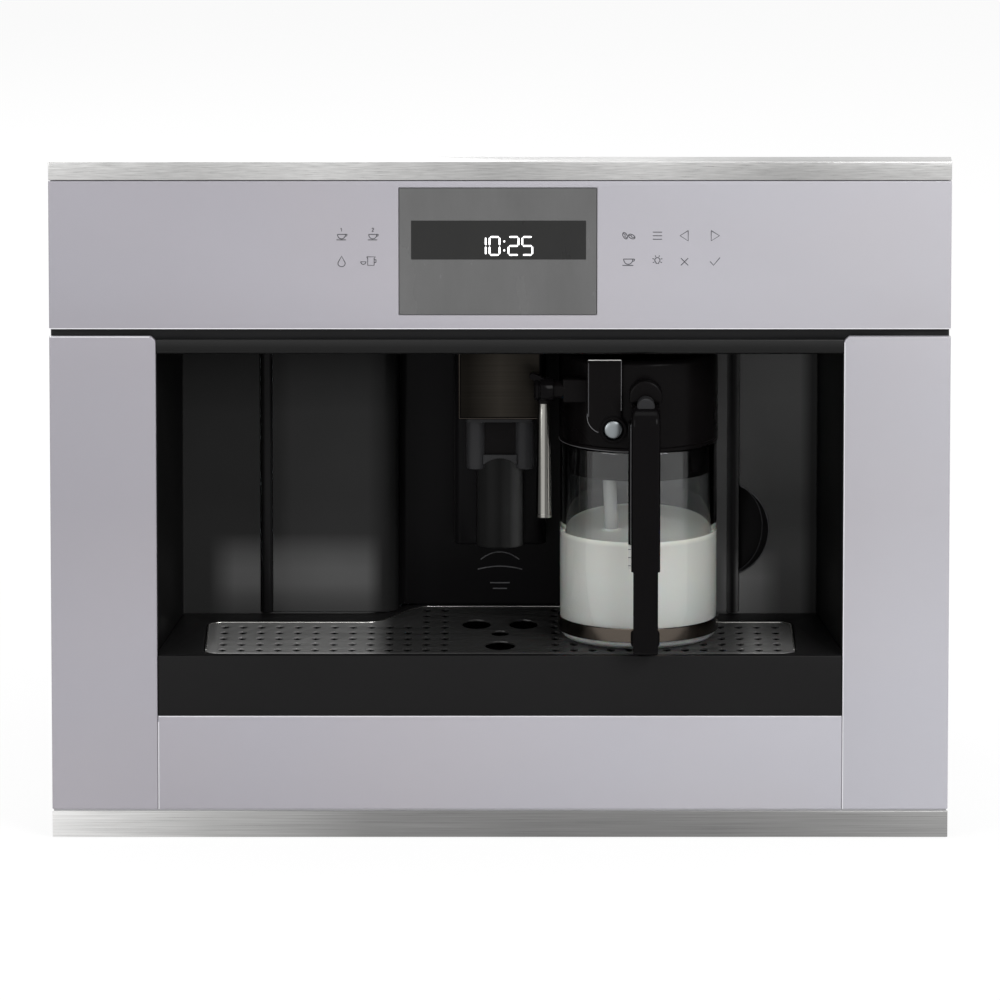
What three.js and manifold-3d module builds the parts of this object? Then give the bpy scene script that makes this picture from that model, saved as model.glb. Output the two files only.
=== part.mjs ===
// A built-in bean-to-cup coffee machine with a milk jug, on its cabinet runners.
// Millimetres, +Z up, +X to the right seen from the front. Inside the machine group, Y counts
// backwards from the plane of the front panels, so the front of the machine looks along -Y.
import * as THREE from 'three';
import { mergeGeometries, mergeVertices } from 'three/addons/utils/BufferGeometryUtils.js';
import Module from 'manifold-3d';

const wasm = await Module();
wasm.setup();

// ---- driving dimensions -------------------------------------------------------------------

const frontWidth = 595; // standard width of a built-in appliance front
const frontHeight = 455; // compact appliance height
const bodyDepth = 398; // front panels to rear panel
const handleProud = 18; // the jug's handle stands in front of the panels

const seat = 0.3; // gap that touching pieces keep
const sheet = 1.5; // folded steel sheet
const wall = 2.5; // moulded plastic wall
const glassThick = 5; // front glass panels

const trimHeightTop = 12.4;
const trimHeightBottom = 17.9;
const trimSheet = 1.5;
const panelGap = 1; // dark line between neighbouring panels
const controlHeight = 99;
const bandGap = 5; // dark gap under the control panel
const sidePanelWidth = 70.2;
const bezelHeight = 10.2;
const lowerPanelHeight = 63.3;
const trayFrontHeight = 40.5;

const displayWidth = 130.2;
const displayHeight = 84.6;
const displayOffset = -1.4; // the display sits a little left of the middle
const displayDrop = 4.8; // below the control panel's top edge

const frameFace = 3; // face of the frame behind the glass
const frameDepth = 20; // front plane to the rear edge of the frame
const frameSkirt = 2;
const boardHalf = 190; // half width of the control board

const sideOverlap = 33.5; // the front reaches past the steel case on each side
const caseBottom = 32;
const caseDrop = 68; // case's top under the front's upper edge

const nicheDepth = 145;
const nicheDraft = 13.5; // each side wall leans in by this over the depth
const doorInsetLeft = 74.1; // from the niche's side to the door
const doorInsetRight = 66.4;
const doorThick = 3;
const recessLeft = 68;
const recessRight = 46;
const recessDepth = 172; // back of the recess in the door
const recessRound = 12; // the door's outward bend into the recess
const recessCorner = 6;
const hingePostWidth = 8.1;
const fingerRadius = 33; // hollow beside the door's free edge
const fingerHeight = 57; // above the grille
const fingerInset = 12.4; // hollow's centre from the door's free edge
const fingerDepth = 14;

const columnRadius = 16; // guide column of the coffee outlet
const columnFront = 100;
const columnBase = 140;
const fairingHalf = 31;
const columnTail = 65; // guide column below the outlet's lowest place

const outletWidth = 55.5;
const outletFront = 44;
const outletHeight = 50;
const outletTopGap = 1.5;
const outletRear = 134;
const outletTravel = 40; // how far the outlet slides down its column
const nozzleSpacing = 32.6;
const nozzleRadius = 6.2;
const nozzleLength = 35.4;
const nozzleBore = 3.5;
const nozzleSetBack = 14; // nozzle axis behind the outlet's front face

const trayRear = 142.5;
const trayBulge = 169.5;
const trayWall = 2.5;
const trayDeck = 4;
const bulgeInner = 52; // half width of the straight back of the bulge
const bulgeOuter = 92; // half width where the bulge begins
const grilleInset = 31; // from the niche's side to the grille
const grilleFront = 9.2;
const grilleRearInset = 30; // from the tray's rear edge
const grilleBulgeInset = 3;
const grilleThick = 1.2;
const grilleLedge = 4;
const grilleCorner = 10;

const slotWidth = 5.5;
const slotLength = 11;
const slotPitchX = 12.3;
const slotPitchY = 19;
const slotFirstRow = 19.7;
const drainHalf = 30; // middle strip without slots, for the cup drains

const jugX = 92.3;
const jugY = 68; // jug's axis behind the front
const jugRadius = 52.3;
const jugRoom = 7.1; // between the jug's lid and the niche's ceiling
const jugWall = 2.5;
const jugRound = 10;
const jugSides = 28;
const milkRoom = 61.5; // from the milk's surface up to the glass rim
const bandFoot = 5.5; // the steel band's lower edge above the jug's base
const bandHeight = 9.2;
const bandThick = 1;
const lidHeight = 61.5;
const lidWall = 6;
const lidSkirt = 20;
const lidOverhang = 0.5;
const buttonRadius = 6.7;
const buttonX = -17.3; // from the jug's axis
const buttonHeight = 15.8; // above the glass rim
const buttonThick = 5;
const buttonTravel = 2;
const handleWidth = 19.2;
const handleOffset = 4; // handle's middle to the right of the jug's axis
const handleThick = 14;
const handleRise = 35.5; // handle's top above the glass rim
const handleNeck = 14;
const hoodRadius = 11; // arched hood of the lid over the handle's neck
const hoodProud = 12;
const lugRadius = 6; // half disc on the handle's top
const handleStep = 59.5;
const handleRound = 5; // the grip's front edges
const spoutX = -63.3; // milk spout from the jug's axis
const spoutY = -39;
const spoutRise = 40.5; // pivot above the glass rim
const spoutHeadRadius = 8;
const spoutHeadLength = 13;
const spoutTubeTop = 4;
const spoutTubeBottom = 5.7;
const spoutTubeLength = 77;
const suctionRadius = 4.6;
const dockRise = 34.5; // steam nozzle above the glass rim
const dockRadius = 5;

const hopperInset = 179; // hopper's middle from the case's right side
const hopperY = 265;
const hopperWidth = 130;
const hopperLength = 140;
const hopperHeight = 52;
const hopperThroat = 26;
const lidThick = 3;
const knobRadius = 14;
const grinderRadius = 38;
const grinderHeight = 95;
const burrRadius = 25;
const burrHeight = 16;
const powderOffset = 135; // powder lid's middle from the hopper's middle
const powderY = 250;
const powderWidth = 44;
const powderLength = 60;

const brewOffset = 97; // brewing unit's middle from the hopper's middle
const brewY = 242;
const brewWidth = 110;
const brewLength = 84;
const burrCover = 14; // grinder's top over the burrs
const dropHeight = 15.9; // the burrs' underside to the brewing unit's top
const chamberRadius = 22;
const chamberWall = 4;
const chamberHeight = 45;
const chamberBase = 170;
const chamberFloor = 10;
const brewLift = 40; // how far the chamber rises over the piston
const puckHeight = 10; // ground coffee left between chamber floor and piston
const spindleRadius = 5;
const spindleOffset = 36;
const motorRadius = 14;
const shelfTop = 83;

const tankWidth = 88;
const tankFront = 185;
const tankRearGap = 23; // from the tank to the rear panel
const tankHeight = 195;
const tankWall = 2.2;
const tankShelf = 104.5;
const tankLidHeight = 4;

const cabinetGap = 15.7; // room between the case and the cabinet's side
const runnerLength = 340;
const runnerFront = 30;
const runnerBottom = 40;
const runnerHeight = 44;
const runnerSheet = 1.2;
const runnerNest = 0.4; // between one runner member and the next
const footWidth = 44;
const footThick = 2;

// ---- values worked out from them ----------------------------------------------------------

const totalDepth = bodyDepth + handleProud;
const frontHalf = frontWidth / 2;
const caseHalf = frontHalf - sideOverlap;
const caseTop = frontHeight - caseDrop;
const panelRear = glassThick;
const frameFront = panelRear + seat;
const controlTop = frontHeight - trimHeightTop - panelGap / 2;
const controlBottom = controlTop - controlHeight;
const sideTop = controlBottom - bandGap;
const lowerBottom = trimHeightBottom + panelGap;
const lowerTop = lowerBottom + lowerPanelHeight;
const trayFloor = lowerTop + seat;
const rimTop = trayFloor + trayFrontHeight;
const nicheHalf = frontHalf - sidePanelWidth - seat;
const doorLeft = nicheHalf - doorInsetLeft;
const doorRight = nicheHalf - doorInsetRight;
const grilleHalf = nicheHalf - grilleInset;
const bezelTop = sideTop - 2.2;
const nicheTop = bezelTop - bezelHeight;
const floorZ = rimTop; // top of the grille, flush with the rim, where cups and jug stand
const linerFront = frameDepth + seat;
const jugBase = floorZ + seat;
const jugGlassHeight = nicheTop - jugRoom - lidHeight - seat - jugBase;
const milkDepth = jugGlassHeight - milkRoom;
const handleTop = jugGlassHeight + handleRise;
const spoutZ = jugGlassHeight + spoutRise;
const dockHeight = jugGlassHeight + dockRise;
const hopperX = caseHalf - hopperInset;
const powderX = hopperX - powderOffset;
const brewX = hopperX - brewOffset;
const hopperTop = caseTop - sheet - seat;
const grinderTop = hopperTop - hopperHeight - 2 - seat;
const burrTop = grinderTop - burrCover;
const brewTop = burrTop - burrHeight - dropHeight;
const chassisRear = bodyDepth - sheet - seat;
const outletTop = nicheTop - outletTopGap;
const outletBottom = outletTop - outletHeight;
const columnFoot = nicheTop - outletHeight - outletTravel - columnTail;
const tankOuter = -caseHalf;
const tankInner = tankOuter + tankWidth;
const tankBase = tankShelf + seat;
const tankTop = tankBase + tankHeight;
const tankRear = bodyDepth - tankRearGap;

// ---- making solids ------------------------------------------------------------------------

const axes = {
  x: new THREE.Matrix4().makeBasis(
    new THREE.Vector3(0, 1, 0), new THREE.Vector3(0, 0, 1), new THREE.Vector3(1, 0, 0)),
  y: new THREE.Matrix4().makeBasis(
    new THREE.Vector3(1, 0, 0), new THREE.Vector3(0, 0, 1), new THREE.Vector3(0, -1, 0)),
  z: new THREE.Matrix4(),
};

function solid(geometry) {
  const bare = geometry.clone();
  bare.deleteAttribute('normal');
  bare.deleteAttribute('uv');
  const merged = mergeVertices(bare);
  const index = merged.index.array;
  const triangles = [];
  for (let i = 0; i < index.length; i += 3) {
    const [a, b, c] = [index[i], index[i + 1], index[i + 2]];
    if (a !== b && b !== c && a !== c) triangles.push(a, b, c);
  }
  return new wasm.Manifold(new wasm.Mesh({
    numProp: 3,
    vertProperties: new Float32Array(merged.attributes.position.array),
    triVerts: new Uint32Array(triangles),
  }));
}

function join(first, ...others) {
  return others.reduce((sum, other) => sum.add(other), first);
}

function cut(first, ...others) {
  return others.reduce((rest, other) => rest.subtract(other), first);
}

// A closed outline pushed along one axis. The outline lies in (x, y), (x, z) or (y, z).
function extrude(shape, axis, from, to, rounds = 8) {
  const settings = { depth: to - from, bevelEnabled: false, curveSegments: rounds };
  const geometry = new THREE.ExtrudeGeometry(shape, settings);
  geometry.applyMatrix4(axes[axis]);
  const shift = { x: [from, 0, 0], y: [0, to, 0], z: [0, 0, from] }[axis];
  return solid(geometry.translate(...shift));
}

function outline(points) {
  return new THREE.Shape(points.map(([a, b]) => new THREE.Vector2(a, b)));
}

function rectangle(a0, a1, b0, b1) {
  return outline([[a0, b0], [a1, b0], [a1, b1], [a0, b1]]);
}

function roundedRectangle(a0, a1, b0, b1, radius) {
  const shape = new THREE.Shape();
  shape.absarc(a1 - radius, b0 + radius, radius, -Math.PI / 2, 0);
  shape.absarc(a1 - radius, b1 - radius, radius, 0, Math.PI / 2);
  shape.absarc(a0 + radius, b1 - radius, radius, Math.PI / 2, Math.PI);
  shape.absarc(a0 + radius, b0 + radius, radius, Math.PI, 1.5 * Math.PI);
  return shape;
}

function circle(a, b, radius) {
  return new THREE.Shape().absarc(a, b, radius, 0, 2 * Math.PI);
}

function block(x0, x1, y0, y1, z0, z1) {
  return extrude(rectangle(x0, x1, y0, y1), 'z', z0, z1);
}

function rod(radius, axis, from, to, a, b, rounds = 8) {
  return extrude(circle(a, b, radius), axis, from, to, rounds);
}

// A profile of [radius, height] points turned about the Z axis.
function turned(profile, sides = 32) {
  const points = profile.map(([r, z]) => new THREE.Vector2(r, z));
  const geometry = new THREE.LatheGeometry(points, sides);
  geometry.rotateX(Math.PI / 2);
  return solid(geometry);
}

function tube(points, radius) {
  const path = new THREE.CatmullRomCurve3(points.map((p) => new THREE.Vector3(...p)));
  const section = new THREE.Shape().absarc(0, 0, radius, 0, 2 * Math.PI);
  const steps = Math.max(8, Math.round(path.getLength() / (radius * 5)));
  const settings = { steps, extrudePath: path, curveSegments: 4 };
  return solid(new THREE.ExtrudeGeometry(section, settings));
}

const finishes = {
  lilacGlass: { color: 0xaeabb4, roughness: 0.25, metalness: 0.1 },
  brushedSteel: { color: 0xb9b9ba, roughness: 0.35, metalness: 0.9 },
  blackPlastic: { color: 0x1d1c1e, roughness: 0.45, metalness: 0 },
  glossBlack: { color: 0x121214, roughness: 0.15, metalness: 0 },
  smokedGlass: { color: 0x6f6f71, roughness: 0.15, metalness: 0 },
  chrome: { color: 0xd8d6d2, roughness: 0.12, metalness: 1 },
  zincSheet: { color: 0x9a9c9e, roughness: 0.5, metalness: 0.8 },
  clearGlass: { color: 0xdfe6e6, roughness: 0.05, metalness: 0 },
  clearPlastic: { color: 0xc8d0d2, roughness: 0.15, metalness: 0 },
  milk: { color: 0xf2efe8, roughness: 0.4, metalness: 0 },
  greyPlastic: { color: 0x77787a, roughness: 0.5, metalness: 0 },
  board: { color: 0x1f4a33, roughness: 0.6, metalness: 0 },
  aluminium: { color: 0xa9abad, roughness: 0.45, metalness: 0.9 },
  hose: { color: 0xd9d6cc, roughness: 0.5, metalness: 0 },
};

function place(group, name, shape, finish) {
  const { vertProperties, triVerts } = shape.getMesh();
  const geometry = new THREE.BufferGeometry();
  geometry.setAttribute('position', new THREE.BufferAttribute(new Float32Array(vertProperties), 3));
  geometry.setIndex(new THREE.BufferAttribute(new Uint32Array(triVerts), 1));
  geometry.computeVertexNormals();
  const mesh = new THREE.Mesh(geometry, new THREE.MeshStandardMaterial(finishes[finish]));
  mesh.name = name;
  group.add(mesh);
}

// ---- front --------------------------------------------------------------------------------

// The frame behind the glass: a face with a turned-back skirt round its edge and round the niche,
// and a pocket that closes in the upper half of the control board.
function frontFrame() {
  const bottom = trimSheet + seat;
  const top = frontHeight - trimSheet - seat;
  const half = frontHalf - 1;
  const faceRear = frameFront + frameFace;
  const opening = [-nicheHalf, nicheHalf, trayFloor - seat, nicheTop + seat];
  const outer = extrude(rectangle(-half, half, bottom, top), 'y', frameFront, frameDepth);
  const hollow = extrude(rectangle(-half + frameSkirt, half - frameSkirt,
    bottom + frameSkirt, top - frameSkirt), 'y', faceRear, frameDepth + 1);
  const collar = extrude(rectangle(opening[0] - frameSkirt, opening[1] + frameSkirt,
    opening[2] - frameSkirt, opening[3] + frameSkirt), 'y', faceRear - 1, frameDepth);
  const way = extrude(rectangle(...opening), 'y', 0, frameDepth + 1);
  const display = extrude(rectangle(...displayBox(-4)), 'y', 0, faceRear + 1);
  const pocket = block(-boardHalf - 4, boardHalf + 4, faceRear - 1, frameDepth, caseTop - 3, controlTop - 4);
  const pocketSpace = block(-boardHalf - 2, boardHalf + 2, faceRear, frameDepth - frameSkirt,
    caseTop - 4, controlTop - 6);
  return cut(join(cut(outer, hollow), cut(pocket, pocketSpace), collar), way, display);
}

// Left, right, bottom and top of the display window, grown by a margin.
function displayBox(margin) {
  const top = controlTop - displayDrop;
  return [displayOffset - displayWidth / 2 - margin, displayOffset + displayWidth / 2 + margin,
    top - displayHeight - margin, top + margin];
}

// A folded trim strip: its face in the front plane and one leg turned back over the frame.
function trimStrip(edge, height) {
  const up = edge === 0 ? 1 : -1;
  const tip = edge + up * height;
  const inner = edge + up * trimSheet;
  const profile = outline([[0, edge], [frameDepth, edge], [frameDepth, inner],
    [trimSheet, inner], [trimSheet, tip], [0, tip]]);
  return extrude(profile, 'x', -frontHalf, frontHalf);
}

function controlPanel() {
  const panel = extrude(rectangle(-frontHalf, frontHalf, controlBottom, controlTop), 'y', 0, panelRear);
  return cut(panel, extrude(rectangle(...displayBox(seat)), 'y', -1, panelRear + 1));
}

function displayWindow() {
  return extrude(rectangle(...displayBox(0)), 'y', 0, panelRear);
}

function sidePanel(side) {
  const inner = frontHalf - sidePanelWidth;
  const chamfer = 3;
  const shape = outline([[side * frontHalf, lowerBottom], [side * inner, lowerBottom],
    [side * inner, sideTop - chamfer], [side * (inner + chamfer), sideTop], [side * frontHalf, sideTop]]);
  return extrude(shape, 'y', 0, panelRear);
}

function lowerPanel() {
  return extrude(rectangle(-nicheHalf, nicheHalf, lowerBottom, lowerTop), 'y', 0, panelRear);
}

// The bar over the niche, with a rounded lower front edge.
function nicheBezel() {
  const round = 4;
  const shape = new THREE.Shape();
  shape.moveTo(frameFront - seat, nicheTop);
  shape.lineTo(frameFront - seat, bezelTop);
  shape.lineTo(0, bezelTop);
  shape.absarc(round, nicheTop + round, round, Math.PI, 1.5 * Math.PI);
  return extrude(shape, 'x', -nicheHalf, nicheHalf, 3);
}

// ---- niche --------------------------------------------------------------------------------

function nichePlan(grow, front, rear) {
  const lean = nicheDraft / (nicheDepth - linerFront);
  const halfAt = (y) => nicheHalf + grow - lean * (y - linerFront);
  return outline([[-halfAt(front), front], [halfAt(front), front],
    [halfAt(rear), rear], [-halfAt(rear), rear]]);
}

// Rear edge of the tray and its bay: straight, an S-bend each side, straight across the bulge.
function bulgePlan(front, rear, back, inner, outer) {
  const shape = new THREE.Shape();
  const bend = 6;
  shape.moveTo(-outer, front);
  shape.lineTo(outer, front);
  for (const side of [1, -1]) {
    for (let i = 0; i <= bend; i += 1) {
      const t = side > 0 ? i / bend : 1 - i / bend;
      const x = outer + (inner - outer) * t;
      const y = rear + (back - rear) * (1 - Math.cos(Math.PI * t)) / 2;
      shape.lineTo(side * x, y);
    }
  }
  return shape;
}

// Moulded liner: side walls, ceiling, back wall each side of the door, and the bay of the tray.
function nicheLiner() {
  const bayFloor = trayFloor - seat;
  const shelf = rimTop + seat;
  const body = extrude(nichePlan(wall, linerFront, nicheDepth + wall), 'z',
    bayFloor - wall, nicheTop + seat + wall);
  const space = extrude(nichePlan(0, linerFront - 1, nicheDepth), 'z', bayFloor, nicheTop + seat);
  const bay = extrude(bulgePlan(nicheDepth - 1, nicheDepth, trayBulge + 1 + wall, bulgeInner + wall,
    bulgeOuter + wall + 1), 'z', bayFloor - wall, shelf);
  const baySpace = extrude(bulgePlan(linerFront, nicheDepth - wall, trayBulge + 1, bulgeInner,
    bulgeOuter + 1), 'z', bayFloor, shelf + 1);
  const doorway = block(-doorLeft - hingePostWidth - seat, doorRight + seat,
    nicheDepth - 1, trayBulge + 20, shelf - 0.1, nicheTop + seat);
  const hollowX = doorRight - fingerInset;
  const hollowZ = floorZ + fingerHeight;
  const bowl = rod(fingerRadius + wall, 'y', nicheDepth, nicheDepth + fingerDepth + wall,
    hollowX, hollowZ, 12);
  const beside = block(doorRight + seat, doorRight + 2 * fingerRadius, nicheDepth - 1,
    nicheDepth + fingerDepth + wall + 1, hollowZ - 2 * fingerRadius, hollowZ + 2 * fingerRadius);
  const fingers = rod(fingerRadius, 'y', nicheDepth - 1, nicheDepth + fingerDepth, hollowX, hollowZ, 12);
  return cut(join(body, bay, bowl.intersect(beside)), space, baySpace, doorway, fingers.intersect(beside));
}

// Front face of the door in plan, pushed back by an offset.
function doorEdge(offset) {
  const bend = recessRound - offset;
  const corner = recessCorner + offset;
  const front = nicheDepth + offset;
  const back = recessDepth + offset;
  const left = -recessLeft - offset;
  const right = recessRight + offset;
  const path = new THREE.Path();
  path.moveTo(-doorLeft, front);
  path.lineTo(left - bend, front);
  path.absarc(left - bend, front + bend, bend, -Math.PI / 2, 0);
  path.absarc(left + corner, back - corner, corner, Math.PI, Math.PI / 2, true);
  path.absarc(right - corner, back - corner, corner, Math.PI / 2, 0, true);
  path.absarc(right + bend, front + bend, bend, Math.PI, 1.5 * Math.PI);
  path.lineTo(doorRight, front);
  return path.getPoints(3);
}

function columnPlan(clear) {
  const shape = new THREE.Shape();
  const radius = columnRadius + clear;
  shape.moveTo(-radius, columnBase + 1);
  shape.lineTo(-radius, columnFront + columnRadius);
  shape.absarc(0, columnFront + columnRadius, radius, Math.PI, 2 * Math.PI);
  shape.lineTo(radius, columnBase + 1);
  return shape;
}

// Service door: a bent skin with a bead at its free edge, carrying the outlet's guide column.
function serviceDoor() {
  const bottom = rimTop + 2 * seat;
  const top = nicheTop;
  const skin = new THREE.Shape([...doorEdge(0), ...doorEdge(doorThick).reverse()]);
  const column = extrude(columnPlan(0), 'z', columnFoot, top, 6);
  const fairing = extrude(roundedRectangle(-fairingHalf, fairingHalf, columnBase, recessDepth + 1, 6),
    'z', columnFoot, top, 3);
  const bead = rod(4, 'z', bottom, top, doorRight - 4, nicheDepth + 1, 4);
  const dock = rod(dockRadius + 4, 'y', nicheDepth - 5, nicheDepth + 5, jugX, jugBase + dockHeight);
  return cut(join(extrude(skin, 'z', bottom, top), column, fairing, bead), dock);
}

// The post that the door hangs on: a rounded upright the full height of the niche.
function hingePost() {
  const half = hingePostWidth / 2 - seat;
  const x = -doorLeft - hingePostWidth / 2;
  const bottom = rimTop + 2 * seat;
  return extrude(roundedRectangle(x - half, x + half, nicheDepth - 3, nicheDepth + 5, 3), 'z',
    bottom, nicheTop, 3);
}

// ---- coffee outlet ------------------------------------------------------------------------

function outletHousing() {
  const half = outletWidth / 2;
  const shell = extrude(roundedRectangle(-half, half, outletFront, outletRear, 2), 'z',
    outletBottom, outletTop, 2);
  const channel = extrude(columnPlan(0.6), 'z', outletBottom - 1, outletTop + 1, 6);
  const rearWay = block(-columnRadius - 0.6, columnRadius + 0.6, columnBase - 8, columnBase + 2,
    outletBottom - 1, outletTop + 1);
  return cut(shell, channel, rearWay);
}

function outletNozzles() {
  const top = outletBottom - seat;
  const bottom = top - nozzleLength;
  const y = outletFront + nozzleSetBack;
  let nozzles = block(-nozzleSpacing / 2, nozzleSpacing / 2, y - 2, y + 4, bottom + 12, top - 1);
  const lip = block(-nozzleSpacing / 2, nozzleSpacing / 2, y - 4.7, y + 1, bottom + 6, bottom + 13);
  const arch = rod(nozzleSpacing / 2 - nozzleRadius + 1, 'y', y - 6, y + 3, 0, bottom);
  const plate = block(-nozzleSpacing / 2 - nozzleRadius - 0.5, nozzleSpacing / 2 + nozzleRadius + 0.5,
    y - nozzleRadius - 0.5, y + nozzleRadius + 0.5, top - 3, top);
  nozzles = join(nozzles, plate, cut(lip, arch));
  for (const side of [-1, 1]) {
    const barrel = turned([[0, 0], [nozzleRadius - 0.6, 0], [nozzleRadius, 3],
      [nozzleRadius, nozzleLength - 2], [0, nozzleLength - 2]], 14);
    nozzles = nozzles.add(barrel.translate([side * nozzleSpacing / 2, y, bottom]));
  }
  for (const side of [-1, 1]) {
    const bore = rod(nozzleBore, 'z', bottom - 1, bottom + nozzleLength - 8, side * nozzleSpacing / 2, y, 5);
    nozzles = nozzles.subtract(bore);
  }
  return nozzles;
}

// ---- drip tray ----------------------------------------------------------------------------

// The tray's outline in plan, drawn in by an inset.
function trayPlan(inset) {
  const lean = nicheDraft / (nicheDepth - linerFront);
  const front = inset;
  const side = nicheHalf - seat - inset;
  const rear = trayRear - inset;
  const rearSide = side - lean * (rear - linerFront) - seat;
  const straight = outline([[-side, front], [side, front], [side, linerFront], [rearSide, rear],
    [-rearSide, rear], [-side, linerFront]]);
  return [straight,
    bulgePlan(front + linerFront, rear, trayBulge - inset, bulgeInner - inset, bulgeOuter - inset)];
}

function grillePlan(inset) {
  const half = grilleHalf - inset;
  const front = grilleFront + inset;
  const rear = trayRear - grilleRearInset - inset;
  const back = trayBulge - grilleBulgeInset - inset;
  return [roundedRectangle(-half, half, front, rear, grilleCorner - inset),
    bulgePlan(front + grilleCorner, rear, back, bulgeInner - 4 - inset, bulgeOuter - 4 - inset)];
}

function planSolid([main, bulge], from, to) {
  return extrude(main, 'z', from, to, 3).add(extrude(bulge, 'z', from, to));
}

function dripTray() {
  const seatTop = floorZ - grilleThick - seat;
  const basin = planSolid(trayPlan(trayWall), trayFloor + trayWall, rimTop - trayDeck);
  const rebate = planSolid(grillePlan(-1), seatTop, rimTop + 1);
  const mouth = planSolid(grillePlan(grilleLedge), trayFloor + trayWall + 1, rimTop);
  return cut(planSolid(trayPlan(0), trayFloor, rimTop), basin, rebate, mouth);
}

// A hole outline with six corners, longer from front to back.
function slot(x, y, width, length) {
  const [w, l] = [width / 2, length / 2];
  const shoulder = l - w;
  return outline([[x - w, y - shoulder], [x, y - l], [x + w, y - shoulder],
    [x + w, y + shoulder], [x, y + l], [x - w, y + shoulder]]);
}

function ellipse(x, y, width, length) {
  return new THREE.Shape().absellipse(x, y, width / 2, length / 2, 0, 2 * Math.PI);
}

function dripGrille() {
  const bottom = floorZ - grilleThick;
  const plate = planSolid(grillePlan(0), bottom, floorZ);
  const columns = Math.floor((grilleHalf - grilleCorner) / slotPitchX);
  const holes = [];
  const settings = { depth: grilleThick + 2, bevelEnabled: false, curveSegments: 6 };
  const rearRow = trayRear - grilleRearInset - slotLength;
  for (let column = -columns; column <= columns; column += 1) {
    const x = column * slotPitchX;
    if (Math.abs(x) < drainHalf) continue;
    const back = Math.abs(x) < bulgeInner ? trayBulge - grilleBulgeInset - slotLength : rearRow;
    for (let y = slotFirstRow; y < back + slotPitchY / 4; y += slotPitchY) {
      holes.push(slot(x, y, slotWidth, slotLength));
    }
  }
  const drainBack = slotFirstRow + 4.5 * slotPitchY;
  holes.push(ellipse(-15.8, drainBack, 20, 32), ellipse(15.8, drainBack, 20, 32));
  holes.push(ellipse(0, slotFirstRow + 2.9 * slotPitchY, 12.6, 18));
  holes.push(ellipse(0, slotFirstRow + 0.75 * slotPitchY, 20.6, 30));
  const prisms = holes.map((hole) => new THREE.ExtrudeGeometry(hole, settings).translate(0, 0, bottom - 1));
  return cut(plate, solid(mergeGeometries(prisms)));
}

// ---- milk jug, about its own axis, standing at zero ---------------------------------------

function bowlProfile(radius, base, round, top) {
  const points = [[0, base]];
  const steps = 4;
  for (let i = 0; i <= steps; i += 1) {
    const angle = Math.PI / 2 * (i / steps);
    points.push([radius - round + round * Math.sin(angle), base + round - round * Math.cos(angle)]);
  }
  points.push([radius, top]);
  return points;
}

function jugGlass() {
  const outer = bowlProfile(jugRadius, 0, jugRound, jugGlassHeight);
  const inner = bowlProfile(jugRadius - jugWall, jugWall, jugRound - jugWall, jugGlassHeight);
  return turned([...outer, ...inner.reverse()], jugSides);
}

// The tube that draws the milk up leans a little inside the jug.
const suctionTop = [-20.5, -10, jugGlassHeight - lidSkirt + 12];
const suctionFoot = [-16, -10, 25];
const ductRadius = 7.5; // duct under the lid's roof that the tube pushes against

function suctionTube() {
  return tube([suctionFoot, suctionTop.map((v, i) => (v + suctionFoot[i]) / 2), suctionTop], suctionRadius);
}

function milkBody() {
  const radius = jugRadius - jugWall - seat;
  const profile = bowlProfile(radius, jugWall + seat, jugRound - jugWall, milkDepth);
  const body = turned([...profile, [0, milkDepth]], jugSides);
  const foot = suctionFoot.map((v, i) => (i === 2 ? v - 4 : v));
  return cut(body, tube([foot, suctionFoot, suctionTop], suctionRadius + 0.5));
}

function jugBand() {
  const inner = jugRadius + seat;
  const outer = inner + bandThick;
  const top = bandFoot + bandHeight;
  const ring = [[inner, bandFoot], [outer, bandFoot], [outer, top], [inner, top], [inner, bandFoot]];
  return turned(ring, jugSides);
}

function jugLid() {
  const base = jugGlassHeight + seat;
  const outer = jugRadius + lidOverhang;
  const inside = jugRadius - jugWall - 2 * seat;
  const top = base + lidHeight;
  const shell = turned([[inside - 2, base - lidSkirt], [inside, base - lidSkirt], [inside, base],
    [outer, base], [outer, top - 4], [outer - 4, top], [0, top], [0, top - lidWall],
    [outer - lidWall, top - lidWall],
    [outer - lidWall, base + 2], [inside - 2, base], [inside - 2, base - lidSkirt]], jugSides);
  const pilaster = extrude(roundedRectangle(-35, -11.7, base + 13, top + 1.5, 11), 'y', -outer - 1.5, -38, 4);
  const capTop = block(-35, -11.7, -outer - 1.5, -38, top - 14, top + 1.5);
  const boss = rod(buttonRadius + 2.5, 'y', -outer - 3, -42, buttonX, base + buttonHeight, 6);
  const buttonHole = rod(buttonRadius + seat, 'y', -outer - 4, -outer - 3 + buttonThick + buttonTravel,
    buttonX, base + buttonHeight, 6);
  const arm = rod(6, 'x', spoutX + spoutHeadLength / 2 + seat, -30, spoutY, spoutZ, 5);
  const armRoot = block(spoutX + spoutHeadLength / 2 + 6, -28, spoutY - 6, spoutY + 8,
    spoutZ - 8, spoutZ + 8);
  const socketRear = nicheDepth - 9 - jugY;
  const socket = rod(12, 'y', 44, socketRear, 0, dockHeight, 6);
  const socketBore = rod(dockRadius + 1, 'y', socketRear - 22, socketRear + 1, 0, dockHeight, 6);
  const duct = rod(ductRadius, 'z', suctionTop[2] + seat, top - lidWall + 1, suctionTop[0], suctionTop[1], 5);
  const hoodShape = new THREE.Shape();
  hoodShape.moveTo(handleOffset - hoodRadius, handleTop + seat);
  hoodShape.lineTo(handleOffset + hoodRadius, handleTop + seat);
  hoodShape.absarc(handleOffset, handleTop + seat + 4, hoodRadius, 0, Math.PI);
  const hood = extrude(hoodShape, 'y', -outer - hoodProud, -40, 6);
  return cut(join(shell, pilaster, capTop, boss, arm, armRoot, socket, duct, hood), buttonHole, socketBore);
}

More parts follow.
